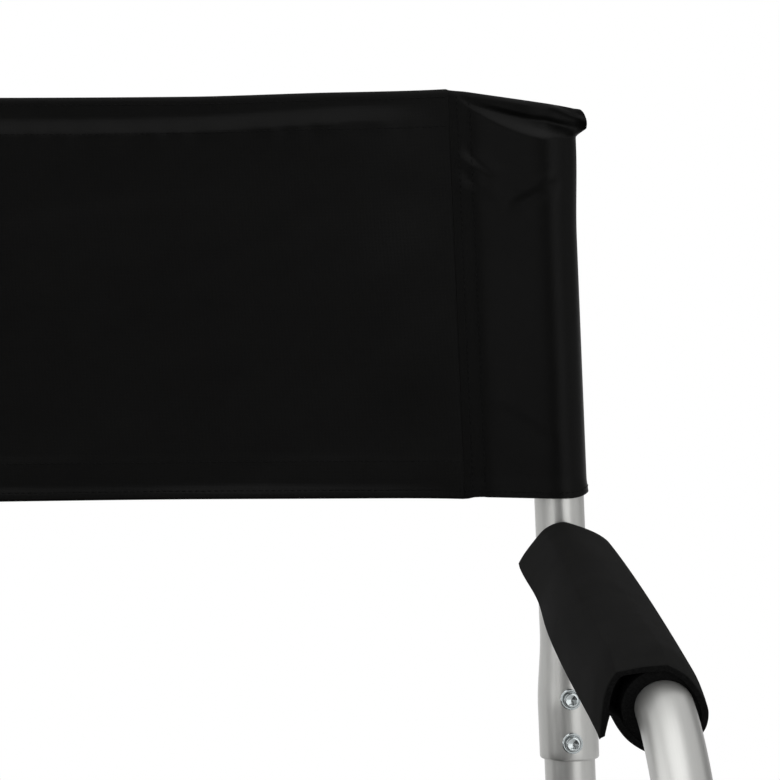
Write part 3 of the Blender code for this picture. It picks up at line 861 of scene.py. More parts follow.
@dataclass
class SideTubes(SidePart):
    """The round tubes of one side: back post with its bell, rear leg, arm with front leg, and rails."""

    post_top: float = 0.2120
    flare_top: float = -0.034
    flare_end: float = -0.072
    bell_rim: float = -0.0980
    bell_r: float = 0.0150
    bell_lip: float = 0.0012
    lip_lead: float = 4.0
    lip_inside: float = 0.2
    bore_depth: float = 0.012
    leg_top: float = -0.0570
    foot_floor: float = 0.0063
    arm_start: float = 0.03
    rail_ease: float = 0.0005
    gap: float = 0.0003
    sides: int = 56
    post_rings: int = 12
    flare_rings: int = 25
    lip_rings: int = 6
    leg_rings: int = 16
    arm_rings: int = 20
    bend_rings: int = 41
    front_leg_rings: int = 24
    rail_rings: int = 14

    def _fit(self, name: str, node: str, rings: Array, material: Material, body: str) -> None:
        """Makes a closed tube and sets it in the place of its solid.

        Args:
            name: the piece's name.
            node: the solid that it stands for.
            rings: rings of points along it.
            material: its finish.
            body: the body that it moves with.
        """
        kit = MeshKit()
        kit.tube(rings, ring_map(rings))
        fit(kit.build(name, [material]), node, body)

    def post(self) -> None:
        """The back post, drawn out below into the bell that fits over the rear leg."""
        post_r, lip, rim = self.frame.post_r, self.bell_lip, self.bell_rim
        straight = np.linspace(self.post_top, self.flare_top, self.post_rings)[:-1]
        flare = np.linspace(self.flare_top, self.flare_end, self.flare_rings)
        swell = smooth_step((self.flare_top - flare) / (self.flare_top - self.flare_end))
        turn = np.linspace(0, math.pi / 2, self.lip_rings)[1:]
        along = np.concatenate([straight, flare, [rim + self.lip_lead * lip, rim + lip],
                                rim + lip * (1 - np.sin(turn)),
                                [rim + self.lip_inside * lip, rim + self.bore_depth]])
        bore = self.frame.leg_r + self.gap
        radius = np.concatenate([np.full(len(straight), post_r), post_r + (self.bell_r - post_r) * swell,
                                 [self.bell_r, self.bell_r], self.bell_r - lip * (1 - np.cos(turn)), [bore, bore]])
        reach = -radius[:, None, None] * circle(self.sides)
        heights = np.broadcast_to(along[:, None], reach.shape[:2])
        rings = self.place(self.frame.beside_post(reach[..., 0], reach[..., 1], heights))
        self._fit(self.node("post_tube"), self.node("back_post"), rings, self.finishes.tube, self.side.frame_body)

    def leg(self) -> None:
        """The rear leg, up into the bell."""
        reach = self.frame.leg_r * circle(self.sides)
        foot_y = (self.foot_floor - self.frame.arm_height) * math.tan(self.frame.rake)
        foot = np.stack([reach[:, 0], foot_y - reach[:, 1], np.full(self.sides, self.foot_floor)], axis=-1)
        top = self.frame.beside_post(-reach[:, 0], -reach[:, 1], np.full(self.sides, self.leg_top))
        share = np.linspace(0, 1, self.leg_rings)[:, None, None]
        rings = self.place(foot[None] * (1 - share) + top[None] * share)
        self._fit(self.node("rear_leg_tube"), self.node("rear_leg"), rings, self.finishes.tube, self.side.frame_body)

    def arm(self) -> None:
        """The arm, from where it is fitted against the post, round the bend and down to the front foot."""
        inward, up = self.frame.post_r * circle(self.sides).T
        arm_run, forward = self.frame.arm_run, self.frame.forward
        base, ahead = self.frame.arm(np.array(0.0))
        start = base + up[:, None] * np.cross(ahead, (1.0, 0.0, 0.0))
        start[:, 0] -= inward
        reach = np.sqrt((self.frame.post_r + self.gap) ** 2 - inward ** 2)
        start = start + ((reach - (start - base) @ forward) / (ahead @ forward))[:, None] * ahead
        bend = self.frame.arm_bend * (math.pi / 2 + self.frame.arm_rise)
        along = np.concatenate([np.linspace(self.arm_start, arm_run, self.arm_rings)[:-1],
                                np.linspace(arm_run, arm_run + bend, self.bend_rings)])
        run = self.frame.round_arm(along[:, None], inward[None], up[None])
        low = run[-1].copy()
        low[:, 2] = self.foot_floor
        share = np.linspace(0, 1, self.front_leg_rings)[1:, None, None]
        rings = self.place(np.concatenate([start[None], run, run[-1] * (1 - share) + low * share]))
        self._fit(self.node("arm_and_leg_tube"), self.node("arm_tube"), rings, self.finishes.bent_tube,
                  self.side.frame_body)

    def rail(self, rail: Rail, body: str) -> None:
        """A level rail with rolled ends.

        Args:
            rail: which rail.
            body: the body that it moves with.
        """
        node, ease = self.node(f"{rail.kind}_rail"), self.rail_ease
        low, high = (corner.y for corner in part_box(node))
        middle = np.linspace(low, high, self.rail_rings)[1:-1]
        y = np.concatenate([[low, low + ease], middle, [high - ease, high]])
        radius = np.full(len(y), rail.r)
        radius[[0, -1]] -= ease
        self._fit(f"{node}_tube", node, rail.rings(self.side, y, radius, self.sides), self.finishes.rail, body)

    def build(self) -> None:
        """Makes every tube of one side."""
        self.post()
        self.leg()
        self.arm()
        self.rail(LOW_RAIL, self.side.frame_body)
        self.rail(SEAT_RAIL, self.side.seat_body)


@dataclass
class BellBolts(SidePart):
    """The two flanged socket bolts that hold the bell on the rear leg.

    A socket step is a depth and a share of the socket's radius, from the rim down to the drilled point.
    """

    places: tuple[tuple[str, float], ...] = (("upper", -0.0664), ("lower", -0.0886))
    seat: float = 0.0153
    shank_r: float = 0.0025
    shank_end: float = -0.0193
    flange_r: float = 0.00525
    flange: float = 0.0010
    flange_edge: float = 0.0003
    flange_ease: float = 0.0004
    groove: float = 0.00035
    groove_width: float = 0.0003
    groove_slope: float = 0.0006
    cap_r: float = 0.00365
    cap: float = 0.0030
    cap_root: float = 0.0002
    chamfer: float = 0.0006
    chamfer_turn: float = 0.3
    socket_r: float = 0.0025
    socket_edge: float = 0.00025
    socket_steps: tuple[Pair, ...] = ((0.0002, 1.0), (0.0022, 0.98), (0.0024, 0.55), (0.0029, 0.04))
    drilled: float = 0.6
    sides: int = 48

    def _profile(self) -> Array:
        """The turned outline, from the shank's end to the socket's rim.

        Returns:
            Distance forward and radius of each station.
        """
        face = self.seat + self.flange
        top = face + self.cap
        turn = self.chamfer * self.chamfer_turn
        return np.array([
            (self.shank_end, self.shank_r), (self.seat, self.shank_r), (self.seat, self.flange_r - self.flange_edge),
            (self.seat + self.flange_edge, self.flange_r), (face - self.flange_edge, self.flange_r),
            (face, self.flange_r - self.flange_ease), (face, self.cap_r + self.groove_slope),
            (face - self.groove, self.cap_r + self.groove_width), (face - self.groove, self.cap_r),
            (face + self.cap_root, self.cap_r), (top - self.chamfer, self.cap_r), (top - turn, self.cap_r - turn),
            (top, self.cap_r - self.chamfer), (top, self.socket_r + self.socket_edge)])

    def _bolt(self, along: float) -> Array:
        """One bolt: turned head and flange, hexagon socket with a drilled bottom.

        Args:
            along: its height along the post from the arm.

        Returns:
            Rings of points along it.
        """
        spin = circle(self.sides)
        turns = np.arctan2(spin[:, 1], spin[:, 0])
        hexagon = self.socket_r * math.cos(math.pi / 6) / np.cos((turns % (math.pi / 3)) - math.pi / 6)
        stations = [(ahead, np.full(self.sides, radius)) for ahead, radius in self._profile()]
        top = stations[-1][0]
        for depth, scale in self.socket_steps:
            hole = hexagon if scale > self.drilled else np.full(self.sides, self.socket_r)
            stations.append((top - depth, hole * scale))
        reach = np.array([radius for _, radius in stations])[..., None] * spin
        ahead = np.array([np.full(self.sides, place) for place, _ in stations])
        points = self.frame.beside_post(-reach[..., 0], -ahead, np.full(ahead.shape, along))
        points += reach[..., 1:] * (self.frame.post(np.array(1.0)) - self.frame.post(np.array(0.0)))
        return self.place(points)

    def build(self) -> None:
        """Makes both bolts of one side."""
        for place, along in self.places:
            node = self.node(f"bell_bolt_{place}")
            kit = MeshKit()
            kit.tube(self._bolt(along))
            fit(kit.build(f"{node}_turned", [self.finishes.zinc], sharp=28.0), node, self.side.frame_body)


class ClothWork:
    """Settling and sewing that the cloth pieces share.

    A stitch is given by stations along it: a share of its length, of its radius and of its rise.
    """

    quality: int = 6
    mass: float = 0.35
    stiffness: float = 200.0
    shear: float = 25.0
    bending: float = 8.0
    damping: float = 12.0
    frames: int = 18
    pitch: float = 3.2 * MM
    stitch: float = 2.5 * MM
    thread_r: float = 0.26 * MM
    thread_sides: int = 6
    stitch_shape = np.array([(-0.5, 0.35, -0.9), (-0.32, 0.9, 0.15), (0.0, 1.0, 0.45), (0.32, 0.9, 0.15),
                             (0.5, 0.35, -0.9)])

    @classmethod
    def settle(cls, points: Array, held: Array, limit: float, push: float = 0.0, weight: float = 1.0,
               shrink: float = 0.0, wrap: bool = False) -> Array:
        """Lets a grid of cloth settle between its held points.

        Args:
            points: rows and columns of the cloth's middle.
            held: how firmly each point is held, from 0 to 1.
            limit: the furthest that a point may move, in metres.
            push: pressure from behind the cloth.
            weight: share of its own weight that it feels.
            shrink: how much smaller it was cut, as a share, which draws it taut.
            wrap: whether each row closes on itself.

        Returns:
            The settled grid.
        """
        kit = MeshKit()
        kit.grid(points, wrap=wrap)
        mesh = bpy.data.meshes.new("settling")
        mesh.from_pydata(points.reshape(-1, 3).tolist(), [], kit.faces)
        piece = bpy.data.objects.new("settling", mesh)
        scene = bpy.context.scene
        scene.collection.objects.link(piece)
        group = piece.vertex_groups.new(name="held")
        for number, share in enumerate(held.ravel()):
            group.add([number], float(share), "REPLACE")
        cloth = piece.modifiers.new("cloth", "CLOTH")
        rules = cloth.settings
        rules.vertex_group_mass = "held"
        rules.quality = cls.quality
        rules.mass = cls.mass
        rules.tension_stiffness = rules.compression_stiffness = cls.stiffness
        rules.shrink_min = shrink
        rules.shear_stiffness = cls.shear
        rules.bending_stiffness = cls.bending
        rules.tension_damping = rules.compression_damping = cls.damping
        rules.effector_weights.gravity = weight
        rules.use_pressure = push != 0.0
        rules.uniform_pressure_force = push
        cloth.collision_settings.use_collision = False
        cloth.point_cache.frame_start, cloth.point_cache.frame_end = 1, cls.frames
        for number in range(1, cls.frames + 1):
            scene.frame_set(number)
        graph = bpy.context.evaluated_depsgraph_get()
        settled = np.array([v.co for v in piece.evaluated_get(graph).data.vertices]).reshape(points.shape)
        scene.frame_set(1)
        bpy.data.objects.remove(piece, do_unlink=True)
        moved = settled - points
        length = np.linalg.norm(moved, axis=-1, keepdims=True)
        eased = limit * np.tanh(length / limit)
        return points + moved * eased / np.maximum(length, 1e-12)

    @classmethod
    def stitches(cls, kit: MeshKit, line: Array, normals: Array) -> None:
        """Sews a row of stitches along a line on the cloth.

        Args:
            kit: the mesh that the cloth is in.
            line: the row's points.
            normals: the way out of the cloth at each of them.
        """
        along = travel(line)
        count = int((along[-1] - cls.stitch) / cls.pitch)
        spin = circle(cls.thread_sides)
        stations, size, rise = cls.stitch_shape.T
        for number in range(count + 1):
            centre = cls.stitch / 2 + number * cls.pitch + (along[-1] - cls.stitch - count * cls.pitch) / 2
            places = centre + stations * cls.stitch
            points = np.stack([np.interp(places, along, line[:, k]) for k in range(3)], axis=-1)
            up = unit(np.stack([np.interp(centre, along, normals[:, k]) for k in range(3)]))
            across = unit(np.cross(unit(points[-1] - points[0]), up))
            middle = points + (cls.thread_r * rise)[:, None] * up
            ring = spin[None, :, :1] * across + spin[None, :, 1:] * up
            kit.tube(middle[:, None] + (cls.thread_r * size)[:, None, None] * ring, slot=THREAD_SLOT)

    @classmethod
    def sew_hems(cls, kit: MeshKit, chart: Array, faces: dict[int, Array], normals: Array,
                 places: tuple[float, ...], inset: int) -> None:
        """Sews along both free edges of a panel, on its front and on its rear.

        Args:
            kit: the mesh that the panel is in.
            chart: the panel's flat places.
            faces: the points of its front, as 1, and of its rear, as -1.
            normals: the way out of its front.
            places: how far from an edge the rows of stitches lie.
            inset: how many points are left bare at each end of a row.
        """
        down = chart[:, chart.shape[1] // 2, 1]
        for end, points in faces.items():
            for place in places:
                for row in (place, down[-1] - place):
                    number = int(np.argmin(np.abs(down - row)))
                    cls.stitches(kit, points[number, inset:-inset], end * normals[number, inset:-inset])


@dataclass(frozen=True)
class EndStep:
    """One ring of a pad's end: its share of the cover's, the foam's and the bore's radius, and how deep it lies."""

    cover: float = 0.0
    core: float = 0.0
    bore: float = 0.0
    inset: float = 0.0
    hollow: float = 0.0
    depth: float = 0.0


@dataclass
class ArmPad(SidePart):
    """The padded cover wrapped over one arm, with its flap on the inner side and foam inside.

    The outlines are sections square to the arm as (inward, up) in millimetres, from the flap's tip
    under the tube and back over the top.
    """

    rear: float = 0.0146
    front: float = 0.352
    ease: float = 1.5
    flap_ease: float = 0.6
    front_outline: tuple[Pair, ...] = (
        (26.6, -13.5), (24.2, -12.2), (22.6, -2.7), (19.1, -9.4), (14.4, -15.2), (7.2, -20.0),
        (0.0, -21.4), (-9.5, -18.6), (-16.6, -10.6), (-18.4, -3.0), (-16.9, 3.6), (-13.5, 9.6),
        (-8.6, 15.7), (-1.0, 20.3), (9.0, 19.6), (20.4, 17.4), (23.9, 11.2), (25.7, 0.0))
    rear_outline: tuple[Pair, ...] = (
        (23.9, 3.3), (21.1, 1.6), (18.4, 4.0), (16.3, -5.0), (12.3, -11.4), (6.5, -15.6),
        (0.0, -17.0), (-9.5, -15.4), (-17.3, -10.0), (-22.4, 0.0), (-23.9, 8.0), (-22.3, 13.4),
        (-15.8, 18.2), (-6.0, 22.2), (1.2, 23.8), (9.1, 21.0), (15.0, 15.2), (20.6, 8.4))
    crisp: tuple[int, ...] = (0, 1, 2)
    crisp_front: tuple[int, ...] = (0, 1, 2, 13, 15)
    steps: int = 8
    stations: int = 60
    spokes: int = 120
    roll_rings: int = 4
    flap_flare: float = 1.5
    flap_points: float = 2.2
    loose_from: float = 0.2
    loose_reach: float = 0.5
    loose_end: float = 0.07
    end_hold: float = 0.6
    tuck: float = 2.6
    tuck_place: float = 0.20
    tuck_reach: float = 0.15
    tuck_inward: float = 0.6
    edge: float = 0.45 * MM
    cover: float = 2.6 * MM
    least_cover: float = 0.6 * MM
    least_foam: float = 1.2 * MM
    core_r: float = 0.0182
    bore_r: float = 0.0126
    hollow: float = 0.012
    hollow_ease: float = 2.5 * MM
    swell: float = 1.1 * MM
    push: float = 0.6
    seam_hold: float = 0.6
    end_steps: tuple[EndStep, ...] = (
        EndStep(cover=1.0), EndStep(cover=1.0, inset=0.1 * MM, hollow=0.4, depth=0.5 * MM),
        EndStep(cover=0.97, core=0.03, hollow=1.0, depth=0.6 * MM),
        EndStep(cover=0.03, core=0.97, hollow=1.0, depth=0.6 * MM),
        EndStep(core=1.0, hollow=0.5, depth=0.7 * MM), EndStep(core=1.0, inset=0.3 * MM, depth=1.0 * MM),
        EndStep(core=0.5, bore=0.5, depth=0.8 * MM), EndStep(bore=1.0, depth=1.2 * MM))

    def _smooth(self, outline: tuple[Pair, ...], crisp: tuple[int, ...]) -> Array:
        """An outline made dense and smooth.

        Args:
            outline: the section's points.
            crisp: which of them stay crisp.

        Returns:
            The loop, in millimetres.
        """
        points = np.array(outline)
        count = len(points)
        slopes = (np.roll(points, -1, 0) - np.roll(points, 1, 0)) / 2
        slopes[list(crisp)] = 0
        t = (np.arange(self.steps) / self.steps)[:, None]
        loop = []
        for i in range(count):
            a, b, da, db = points[i], points[(i + 1) % count], slopes[i], slopes[(i + 1) % count]
            loop.append((2 * t ** 3 - 3 * t ** 2 + 1) * a + (t ** 3 - 2 * t ** 2 + t) * da
                        + (3 * t ** 2 - 2 * t ** 3) * b + (t ** 3 - t ** 2) * db)
        return np.concatenate(loop)

    def _sections(self, shares: Array) -> Array:
        """Sections of the cover along the arm.

        Args:
            shares: how far from the rear end to the front each lies.

        Returns:
            A loop for each, in metres.
        """
        rear = self._smooth(self.rear_outline, self.crisp)
        front = self._smooth(self.front_outline, self.crisp_front)
        inward = (rear[:, 0] - rear[:, 0].min()) / (rear[:, 0].max() - rear[:, 0].min())
        mix = shares[:, None] ** (self.ease + (self.flap_ease - self.ease) * inward)[None]
        loops = rear[None] + mix[..., None] * (front - rear)[None]
        drawn = np.exp(-((shares - self.tuck_place) / self.tuck_reach) ** 2)[:, None]
        loops[..., 0] -= self.tuck * drawn * smooth_step((inward - self.tuck_inward) / (1 - self.tuck_inward))[None]
        turn = np.arange(loops.shape[1]) / self.steps
        turn = np.where(turn > len(rear) / self.steps / 2, turn - len(rear) / self.steps, turn)
        loose = smooth_step((shares - self.loose_from) / self.loose_reach)
        loose = loose * (1 - self.end_hold * smooth_step((shares - 1 + self.loose_end) / self.loose_end))
        loops[..., 0] += self.flap_flare * loose[:, None] * smooth_step(self.flap_points - np.abs(turn))[None]
        return loops * MM

    @staticmethod
    def _inset(loop: Array, depth: float) -> Array:
        """A loop drawn inside itself.

        Args:
            loop: the loop.
            depth: how far, in metres.

        Returns:
            The smaller loop.
        """
        ahead = np.roll(loop, -1, 0) - np.roll(loop, 1, 0)
        normal = unit(np.stack([-ahead[:, 1], ahead[:, 0]], axis=-1))
        area = np.sum(loop[:, 0] * np.roll(loop[:, 1], -1) - np.roll(loop[:, 0], -1) * loop[:, 1])
        return loop + depth * np.sign(area) * normal

    @staticmethod
    def _first_reach(loop: Array, rays: Array) -> Array:
        """How far rays from the tube's axis run before they first meet a loop.

        Args:
            loop: the loop.
            rays: the rays' directions.

        Returns:
            A distance for each ray.
        """
        step = np.roll(loop, -1, 0) - loop
        reach = []
        for ray in rays:
            cross = ray[0] * step[:, 1] - ray[1] * step[:, 0]
            safe = np.where(np.abs(cross) < 1e-15, 1e-15, cross)
            far = (loop[:, 0] * step[:, 1] - loop[:, 1] * step[:, 0]) / safe
            share = (loop[:, 0] * ray[1] - loop[:, 1] * ray[0]) / safe
            reach.append(far[(share >= 0) & (share <= 1) & (far > 0)].min())
        return np.array(reach)

    def _section(self, along: float, loop: Array) -> Array:
        """A flat loop set at one place along the arm of a side."""
        return self.place(self.frame.round_arm(np.full(len(loop), along), loop[:, 0], loop[:, 1]))

    def _rolled(self, loop: Array, along: float, into: float, turn: float) -> Array:
        """The cover part way round its rolled edge, by the turn from the end face."""
        drawn = self._inset(loop, self.edge * (1 - math.cos(turn)))
        return self._section(along + into * self.edge * (1 - math.sin(turn)), drawn)

    def _end(self, kit: MeshKit, outline: Array, along: float, into: float, hollow: float) -> None:
        """Closes one end: the cover's thickness, then the foam, with a hollow between where the cover tents.

        Args:
            kit: the mesh so far.
            outline: the cover's outline at this end.
            along: where the end is.
            into: 1 where the pad lies towards the front from here, otherwise -1.
            hollow: depth of the hollow.
        """
        spin = circle(self.spokes)
        loop = self._inset(outline, self.edge)
        reach = self._first_reach(loop, spin)
        inner = np.maximum(reach - self.cover, self.bore_r + self.least_foam)
        inner = (np.roll(inner, 1) + inner + np.roll(inner, -1)) / 3
        inner = np.minimum(inner, reach - self.least_cover)
        core = np.minimum(inner, self.core_r)
        opens = smooth_step((inner - core) / self.hollow_ease)
        kit.between(self._section(along, loop), self._section(along, inner[:, None] * spin),
                    slot=0 if into > 0 else 1)
        rows = []
        for step in self.end_steps:
            radius = step.cover * inner + step.core * core + step.bore * self.bore_r - step.inset
            depth = hollow * step.hollow * opens + step.depth
            rows.append(self.frame.round_arm(along + into * depth, radius * spin[:, 0], radius * spin[:, 1]))
        numbers = kit.grid(self.place(np.array(rows)), wrap=True, slot=1)
        kit.cap(numbers[-1], slot=1)

    def build(self) -> None:
        """Makes one pad and sets it on its arm."""
        shares = np.linspace(0, 1, self.stations)
        loops = self._sections(shares)
        along = self.rear + (self.front - self.rear) * shares
        points = self.frame.round_arm(along[:, None], loops[..., 0], loops[..., 1])
        held = np.zeros(points.shape[:2])
        held[[0, 1, -2, -1]] = 1.0
        held[:, :2 * self.steps + self.steps // 2] = 1.0
        held[:, -self.steps:] = np.maximum(held[:, -self.steps:], self.seam_hold)
        placed = ClothWork.settle(self.place(points), held, self.swell, push=self.push * self.side.value,
                                  weight=0.0, wrap=True)
        turns = np.linspace(0, math.pi / 2, self.roll_rings)
        skin = np.array([*(self._rolled(loops[0], self.rear, 1.0, turn) for turn in turns[::-1]),
                         *placed[1:-1], *(self._rolled(loops[-1], self.front, -1.0, turn) for turn in turns)])
        kit = MeshKit()
        kit.grid(skin, ring_map(skin), wrap=True)
        self._end(kit, loops[0], self.rear, 1.0, 0.0)
        self._end(kit, loops[-1], self.front, -1.0, self.hollow)
        piece = kit.build(self.node("arm_cover"), [self.finishes.pad, self.finishes.foam], sharp=50.0)
        fit(piece, self.node("arm_pad"), self.side.frame_body)


@dataclass(frozen=True)
class Crease:
    """A soft fold in cloth, from one place to another as (across, along) in metres."""

    start: Pair
    end: Pair
    width: float
    height: float
    fade: float = 0.35
    furrow_place: float = 1.6
    furrow_depth: float = 0.7

    def lift(self, across: Array, along: Array) -> Array:
        """How far the fold lifts the cloth: a ridge with a furrow below it.

        Args:
            across: places across the cloth.
            along: places along it.

        Returns:
            The lift at each place.
        """
        a, step = np.array(self.start), np.array(self.end) - self.start
        length = np.linalg.norm(step)
        place = np.stack([across - a[0], along - a[1]], axis=-1)
        share = place @ step / length ** 2
        side = (place[..., 0] * step[1] - place[..., 1] * step[0]) / length
        fade = smooth_step(share / self.fade + 0.5) * smooth_step((1 - share) / self.fade + 0.5)
        ridge = np.exp(-(side / self.width) ** 2)
        furrow = np.exp(-((side - self.furrow_place * self.width) / self.width) ** 2)
        return self.height * fade * (ridge - self.furrow_depth * furrow)


@dataclass(frozen=True)
class BackCut:
    """How the back cloth is cut: sizes that its pockets and its panel share.

    Heights run along the post from the arm, and reaches run inward from the post's axis.
    """

    foot: float = 0.0345
    seam_top: float = 0.2390
    corner_top: float = 0.2285
    flat_reach: float = 0.0212
    lap: float = 0.0475
    half: float = 0.0008

    @property
    def slope(self) -> float:
        """How far the top seam falls for each metre outward."""
        return (self.seam_top - self.corner_top) / (self.lap + self.flat_reach)


@dataclass
class BackPocket(SidePart):
    """The pocket of cloth on one post: round the post below, pressed shut at the top, with a lap to the panel."""

    cut: BackCut
    tip: float = 0.0355
    lap_half: float = 0.0015
    lap_taper: float = 0.0060
    lap_edge: float = 0.1 * MM
    loop_r: float = 0.0146
    cloth: float = 0.0010
    foot_lift: float = 0.0030
    lap_lift: float = 0.0006
    lap_lift_reach: float = 0.006
    lap_dip: float = 0.0005
    lap_dip_reach: float = 0.010
    shoulder: float = 0.2140
    shoulder_rise: float = 0.0145
    shoulder_curve: float = 1.65
    outer_rise: float = 0.0006
    outer_curve: float = 1.3
    press: float = 0.0090
    press_inward: float = 0.0062
    press_outer: float = 0.0046
    press_least: float = 0.0022
    press_rear: float = 1.3
    press_straight: float = 0.6
    flat_half: float = 0.0012
    fold_turn: float = 4.0
    flat_lead: float = 0.0046
    lead_reach: float = 0.030
    ear_middle: float = 0.2210
    ear_half: float = 0.0080
    ear_pull: float = 0.0046
    puff: float = 0.0017
    puff_from: float = 0.9
    puff_reach: float = 0.0040
    puff_inward: float = 1.3
    waist: float = 0.0015
    waist_from: float = 0.165
    waist_reach: float = 0.045
    foot_flare: float = 0.0008
    foot_flare_reach: float = 0.010
    rim_r: float = 0.0030
    rim_thin: float = 0.9
    curl: float = 0.0024
    turn_up: float = 0.0006
    turn_up_top: float = 0.008
    turn_up_ease: float = 0.003
    foot_seam: float = 0.007
    seam_rows: tuple[float, ...] = (0.0372, 0.0432)
    around: int = 140
    rows: int = 120
    low_rows: float = 0.45
    low_share: float = 0.8
    row_ease: float = 1.4
    lined: float = 0.42
    bow_points: int = 60
    rounding: int = 18
    creases: tuple[Crease, ...] = (
        Crease((0.0250, 0.1965), (0.0400, 0.2090), 0.0030, -0.0006),
        Crease((0.0260, 0.1885), (0.0420, 0.1960), 0.0030, -0.0006),
        Crease((0.0180, 0.1800), (-0.0040, 0.1915), 0.0030, -0.0009),
        Crease((0.0300, 0.0800), (0.0050, 0.0620), 0.0040, -0.0004))
    ear_fold: Crease = Crease((-0.0030, 0.2300), (-0.0200, 0.2228), 0.0012, 0.0007)

    def _loop(self) -> Array:
        """The pocket's section, from the lap's front edge round the post to its rear edge.

        Returns:
            Points as (inward, back).
        """
        far = math.hypot(self.tip, self.lap_half)
        touch = -math.atan2(self.lap_half, self.tip) - math.acos(self.loop_r / far)
        turns = np.linspace(touch, -2 * math.pi - touch, self.bow_points)
        bow = self.loop_r * np.stack([np.cos(turns), np.sin(turns)], axis=-1)
        front = np.array([(self.cut.lap, -self.cut.half - self.lap_edge),
                          (self.cut.lap - self.lap_taper, -self.lap_half), (self.tip, -self.lap_half)])
        loop = evenly(np.concatenate([front, bow, front[::-1] * (1, -1)]), self.around)
        for _ in range(self.rounding):
            loop[1:-1] = (loop[:-2] + 2 * loop[1:-1] + loop[2:]) / 4
        return loop

    def _lead(self, inward: Array) -> Array:
        """How far the flat top is led forward at each reach inward."""
        return self.flat_lead * smooth_step((self.tip - inward) / self.lead_reach)

    def _flat(self, loop: Array) -> Array:
        """The same section pressed flat.

        Args:
            loop: the round section.

        Returns:
            Its points as (inward, back), still the same way round.
        """
        along = travel(loop)
        folded = np.minimum(along, along[-1] - along) / (along[-1] / 2)
        facing = np.clip(self.fold_turn * (1 - 2 * np.arange(len(loop)) / (len(loop) - 1)), -1, 1)
        inward = self.cut.lap - (self.cut.lap + self.cut.flat_reach) * folded
        return np.stack([inward, -self.flat_half * facing - self._lead(inward)], axis=-1)

    def _heights(self, loop: Array, flat: Array, outer: Array) -> tuple[Array, Array]:
        """Where the pocket's rows lie along the post, closer together towards the top.

        Args:
            loop: the round section.
            flat: the flat section.
            outer: how far outward each point is, as a share.

        Returns:
            The height of the top at each column, and of every row there.
        """
        top = self.cut.corner_top + self.cut.slope * (flat[:, 0] + self.cut.flat_reach)
        top = top - self.lap_dip * smooth_step((flat[:, 0] - self.cut.lap + self.lap_dip_reach) / self.lap_dip_reach)
        foot = self.cut.foot + self.foot_lift * outer ** 3
        foot = foot + self.lap_lift * smooth_step((loop[:, 0] - self.tip) / self.lap_lift_reach)
        share = np.linspace(0, 1, self.rows)
        upper = np.clip((share - self.low_rows) / (1 - self.low_rows), 0, 1)
        crowded = self.low_share + (1 - self.low_share) * (1 - (1 - upper) ** self.row_ease)
        share = np.where(share < self.low_rows, share * self.low_share / self.low_rows, crowded)
        return top, foot[None] + (top - foot)[None] * share[:, None]

    def _skin(self) -> tuple[Array, Array]:
        """The pocket's skin, before it is set on a side.

        Returns:
            Frame points by rows upward and columns round, and how far up each is.
        """
        loop = self._loop()
        flat = self._flat(loop)
        facing = np.sign(loop[None, :, 1])
        inward = np.maximum(loop[:, 0], 0) / self.tip
        outer = np.maximum(-loop[:, 0], 0) / self.loop_r
        top, along = self._heights(loop, flat, outer)
        # Where the cloth leaves the post's round and how soon it is pressed shut.
        edge = self.shoulder + self.shoulder_rise * inward ** self.shoulder_curve
        edge = edge + self.outer_rise * outer ** self.outer_curve
        press = np.maximum(self.press - self.press_inward * inward ** 2 - self.press_outer * outer, self.press_least)
        press = np.where(loop[:, 1] > 0, self.press_rear * press, press)
        risen = (along - edge[None]) / press[None]
        shut = self.press_straight * np.clip(risen, 0, 1) + (1 - self.press_straight) * smooth_step(risen)
        # The outer corner sticks out as an ear and draws in above and below.
        ear = np.sqrt(np.clip(1 - ((along - self.ear_middle) / self.ear_half) ** 2, 0, 1))
        corner = np.clip(-flat[None, :, 0] / self.cut.flat_reach, 0, 1) ** 2
        folded = flat[None, :, 0] + self.ear_pull * corner * (1 - ear)
        w = loop[None, :, 0] * (1 - shut) + folded * shut
        d = loop[None, :, 1] * (1 - shut) + flat[None, :, 1] * shut
        puffed = smooth_step((risen - self.puff_from) * press[None] / self.puff_reach)
        d = d + self.puff * facing * puffed * smooth_step(self.puff_inward - inward)[None]
        w = w - self.waist * outer[None] * smooth_step((along - self.waist_from) / self.waist_reach) * (1 - shut)
        low = smooth_step((self.cut.foot + self.foot_flare_reach - along) / self.foot_flare_reach)
        w = w - self.foot_flare * outer[None] * low
        # The two faces meet along the top, the ear's tip curls forward and the foot is turned up.
        rim = np.clip(1 - (top[None] - along) / self.rim_r, 0, 1)
        core = -self._lead(flat[None, :, 0]) * shut
        d = core + (d - core) * np.sqrt(1 - self.rim_thin * rim ** 2)
        curl = np.clip((-w - self.loop_r) / (self.cut.flat_reach - self.loop_r), 0, 1) * shut
        d = d - self.curl * curl ** 2
        turned = smooth_step((self.cut.foot + self.turn_up_top - along) / self.turn_up_ease)
        d = d + self.turn_up * np.sign(d) * turned * (1 - curl)
        lift = sum(crease.lift(w, along) for crease in self.creases) * (1 - shut)
        lift = (lift + self.ear_fold.lift(w, along) * shut) * (loop[None, :, 1] < 0)
        return self.frame.beside_post(w, d, along) + lift[..., None] * self.frame.forward, along

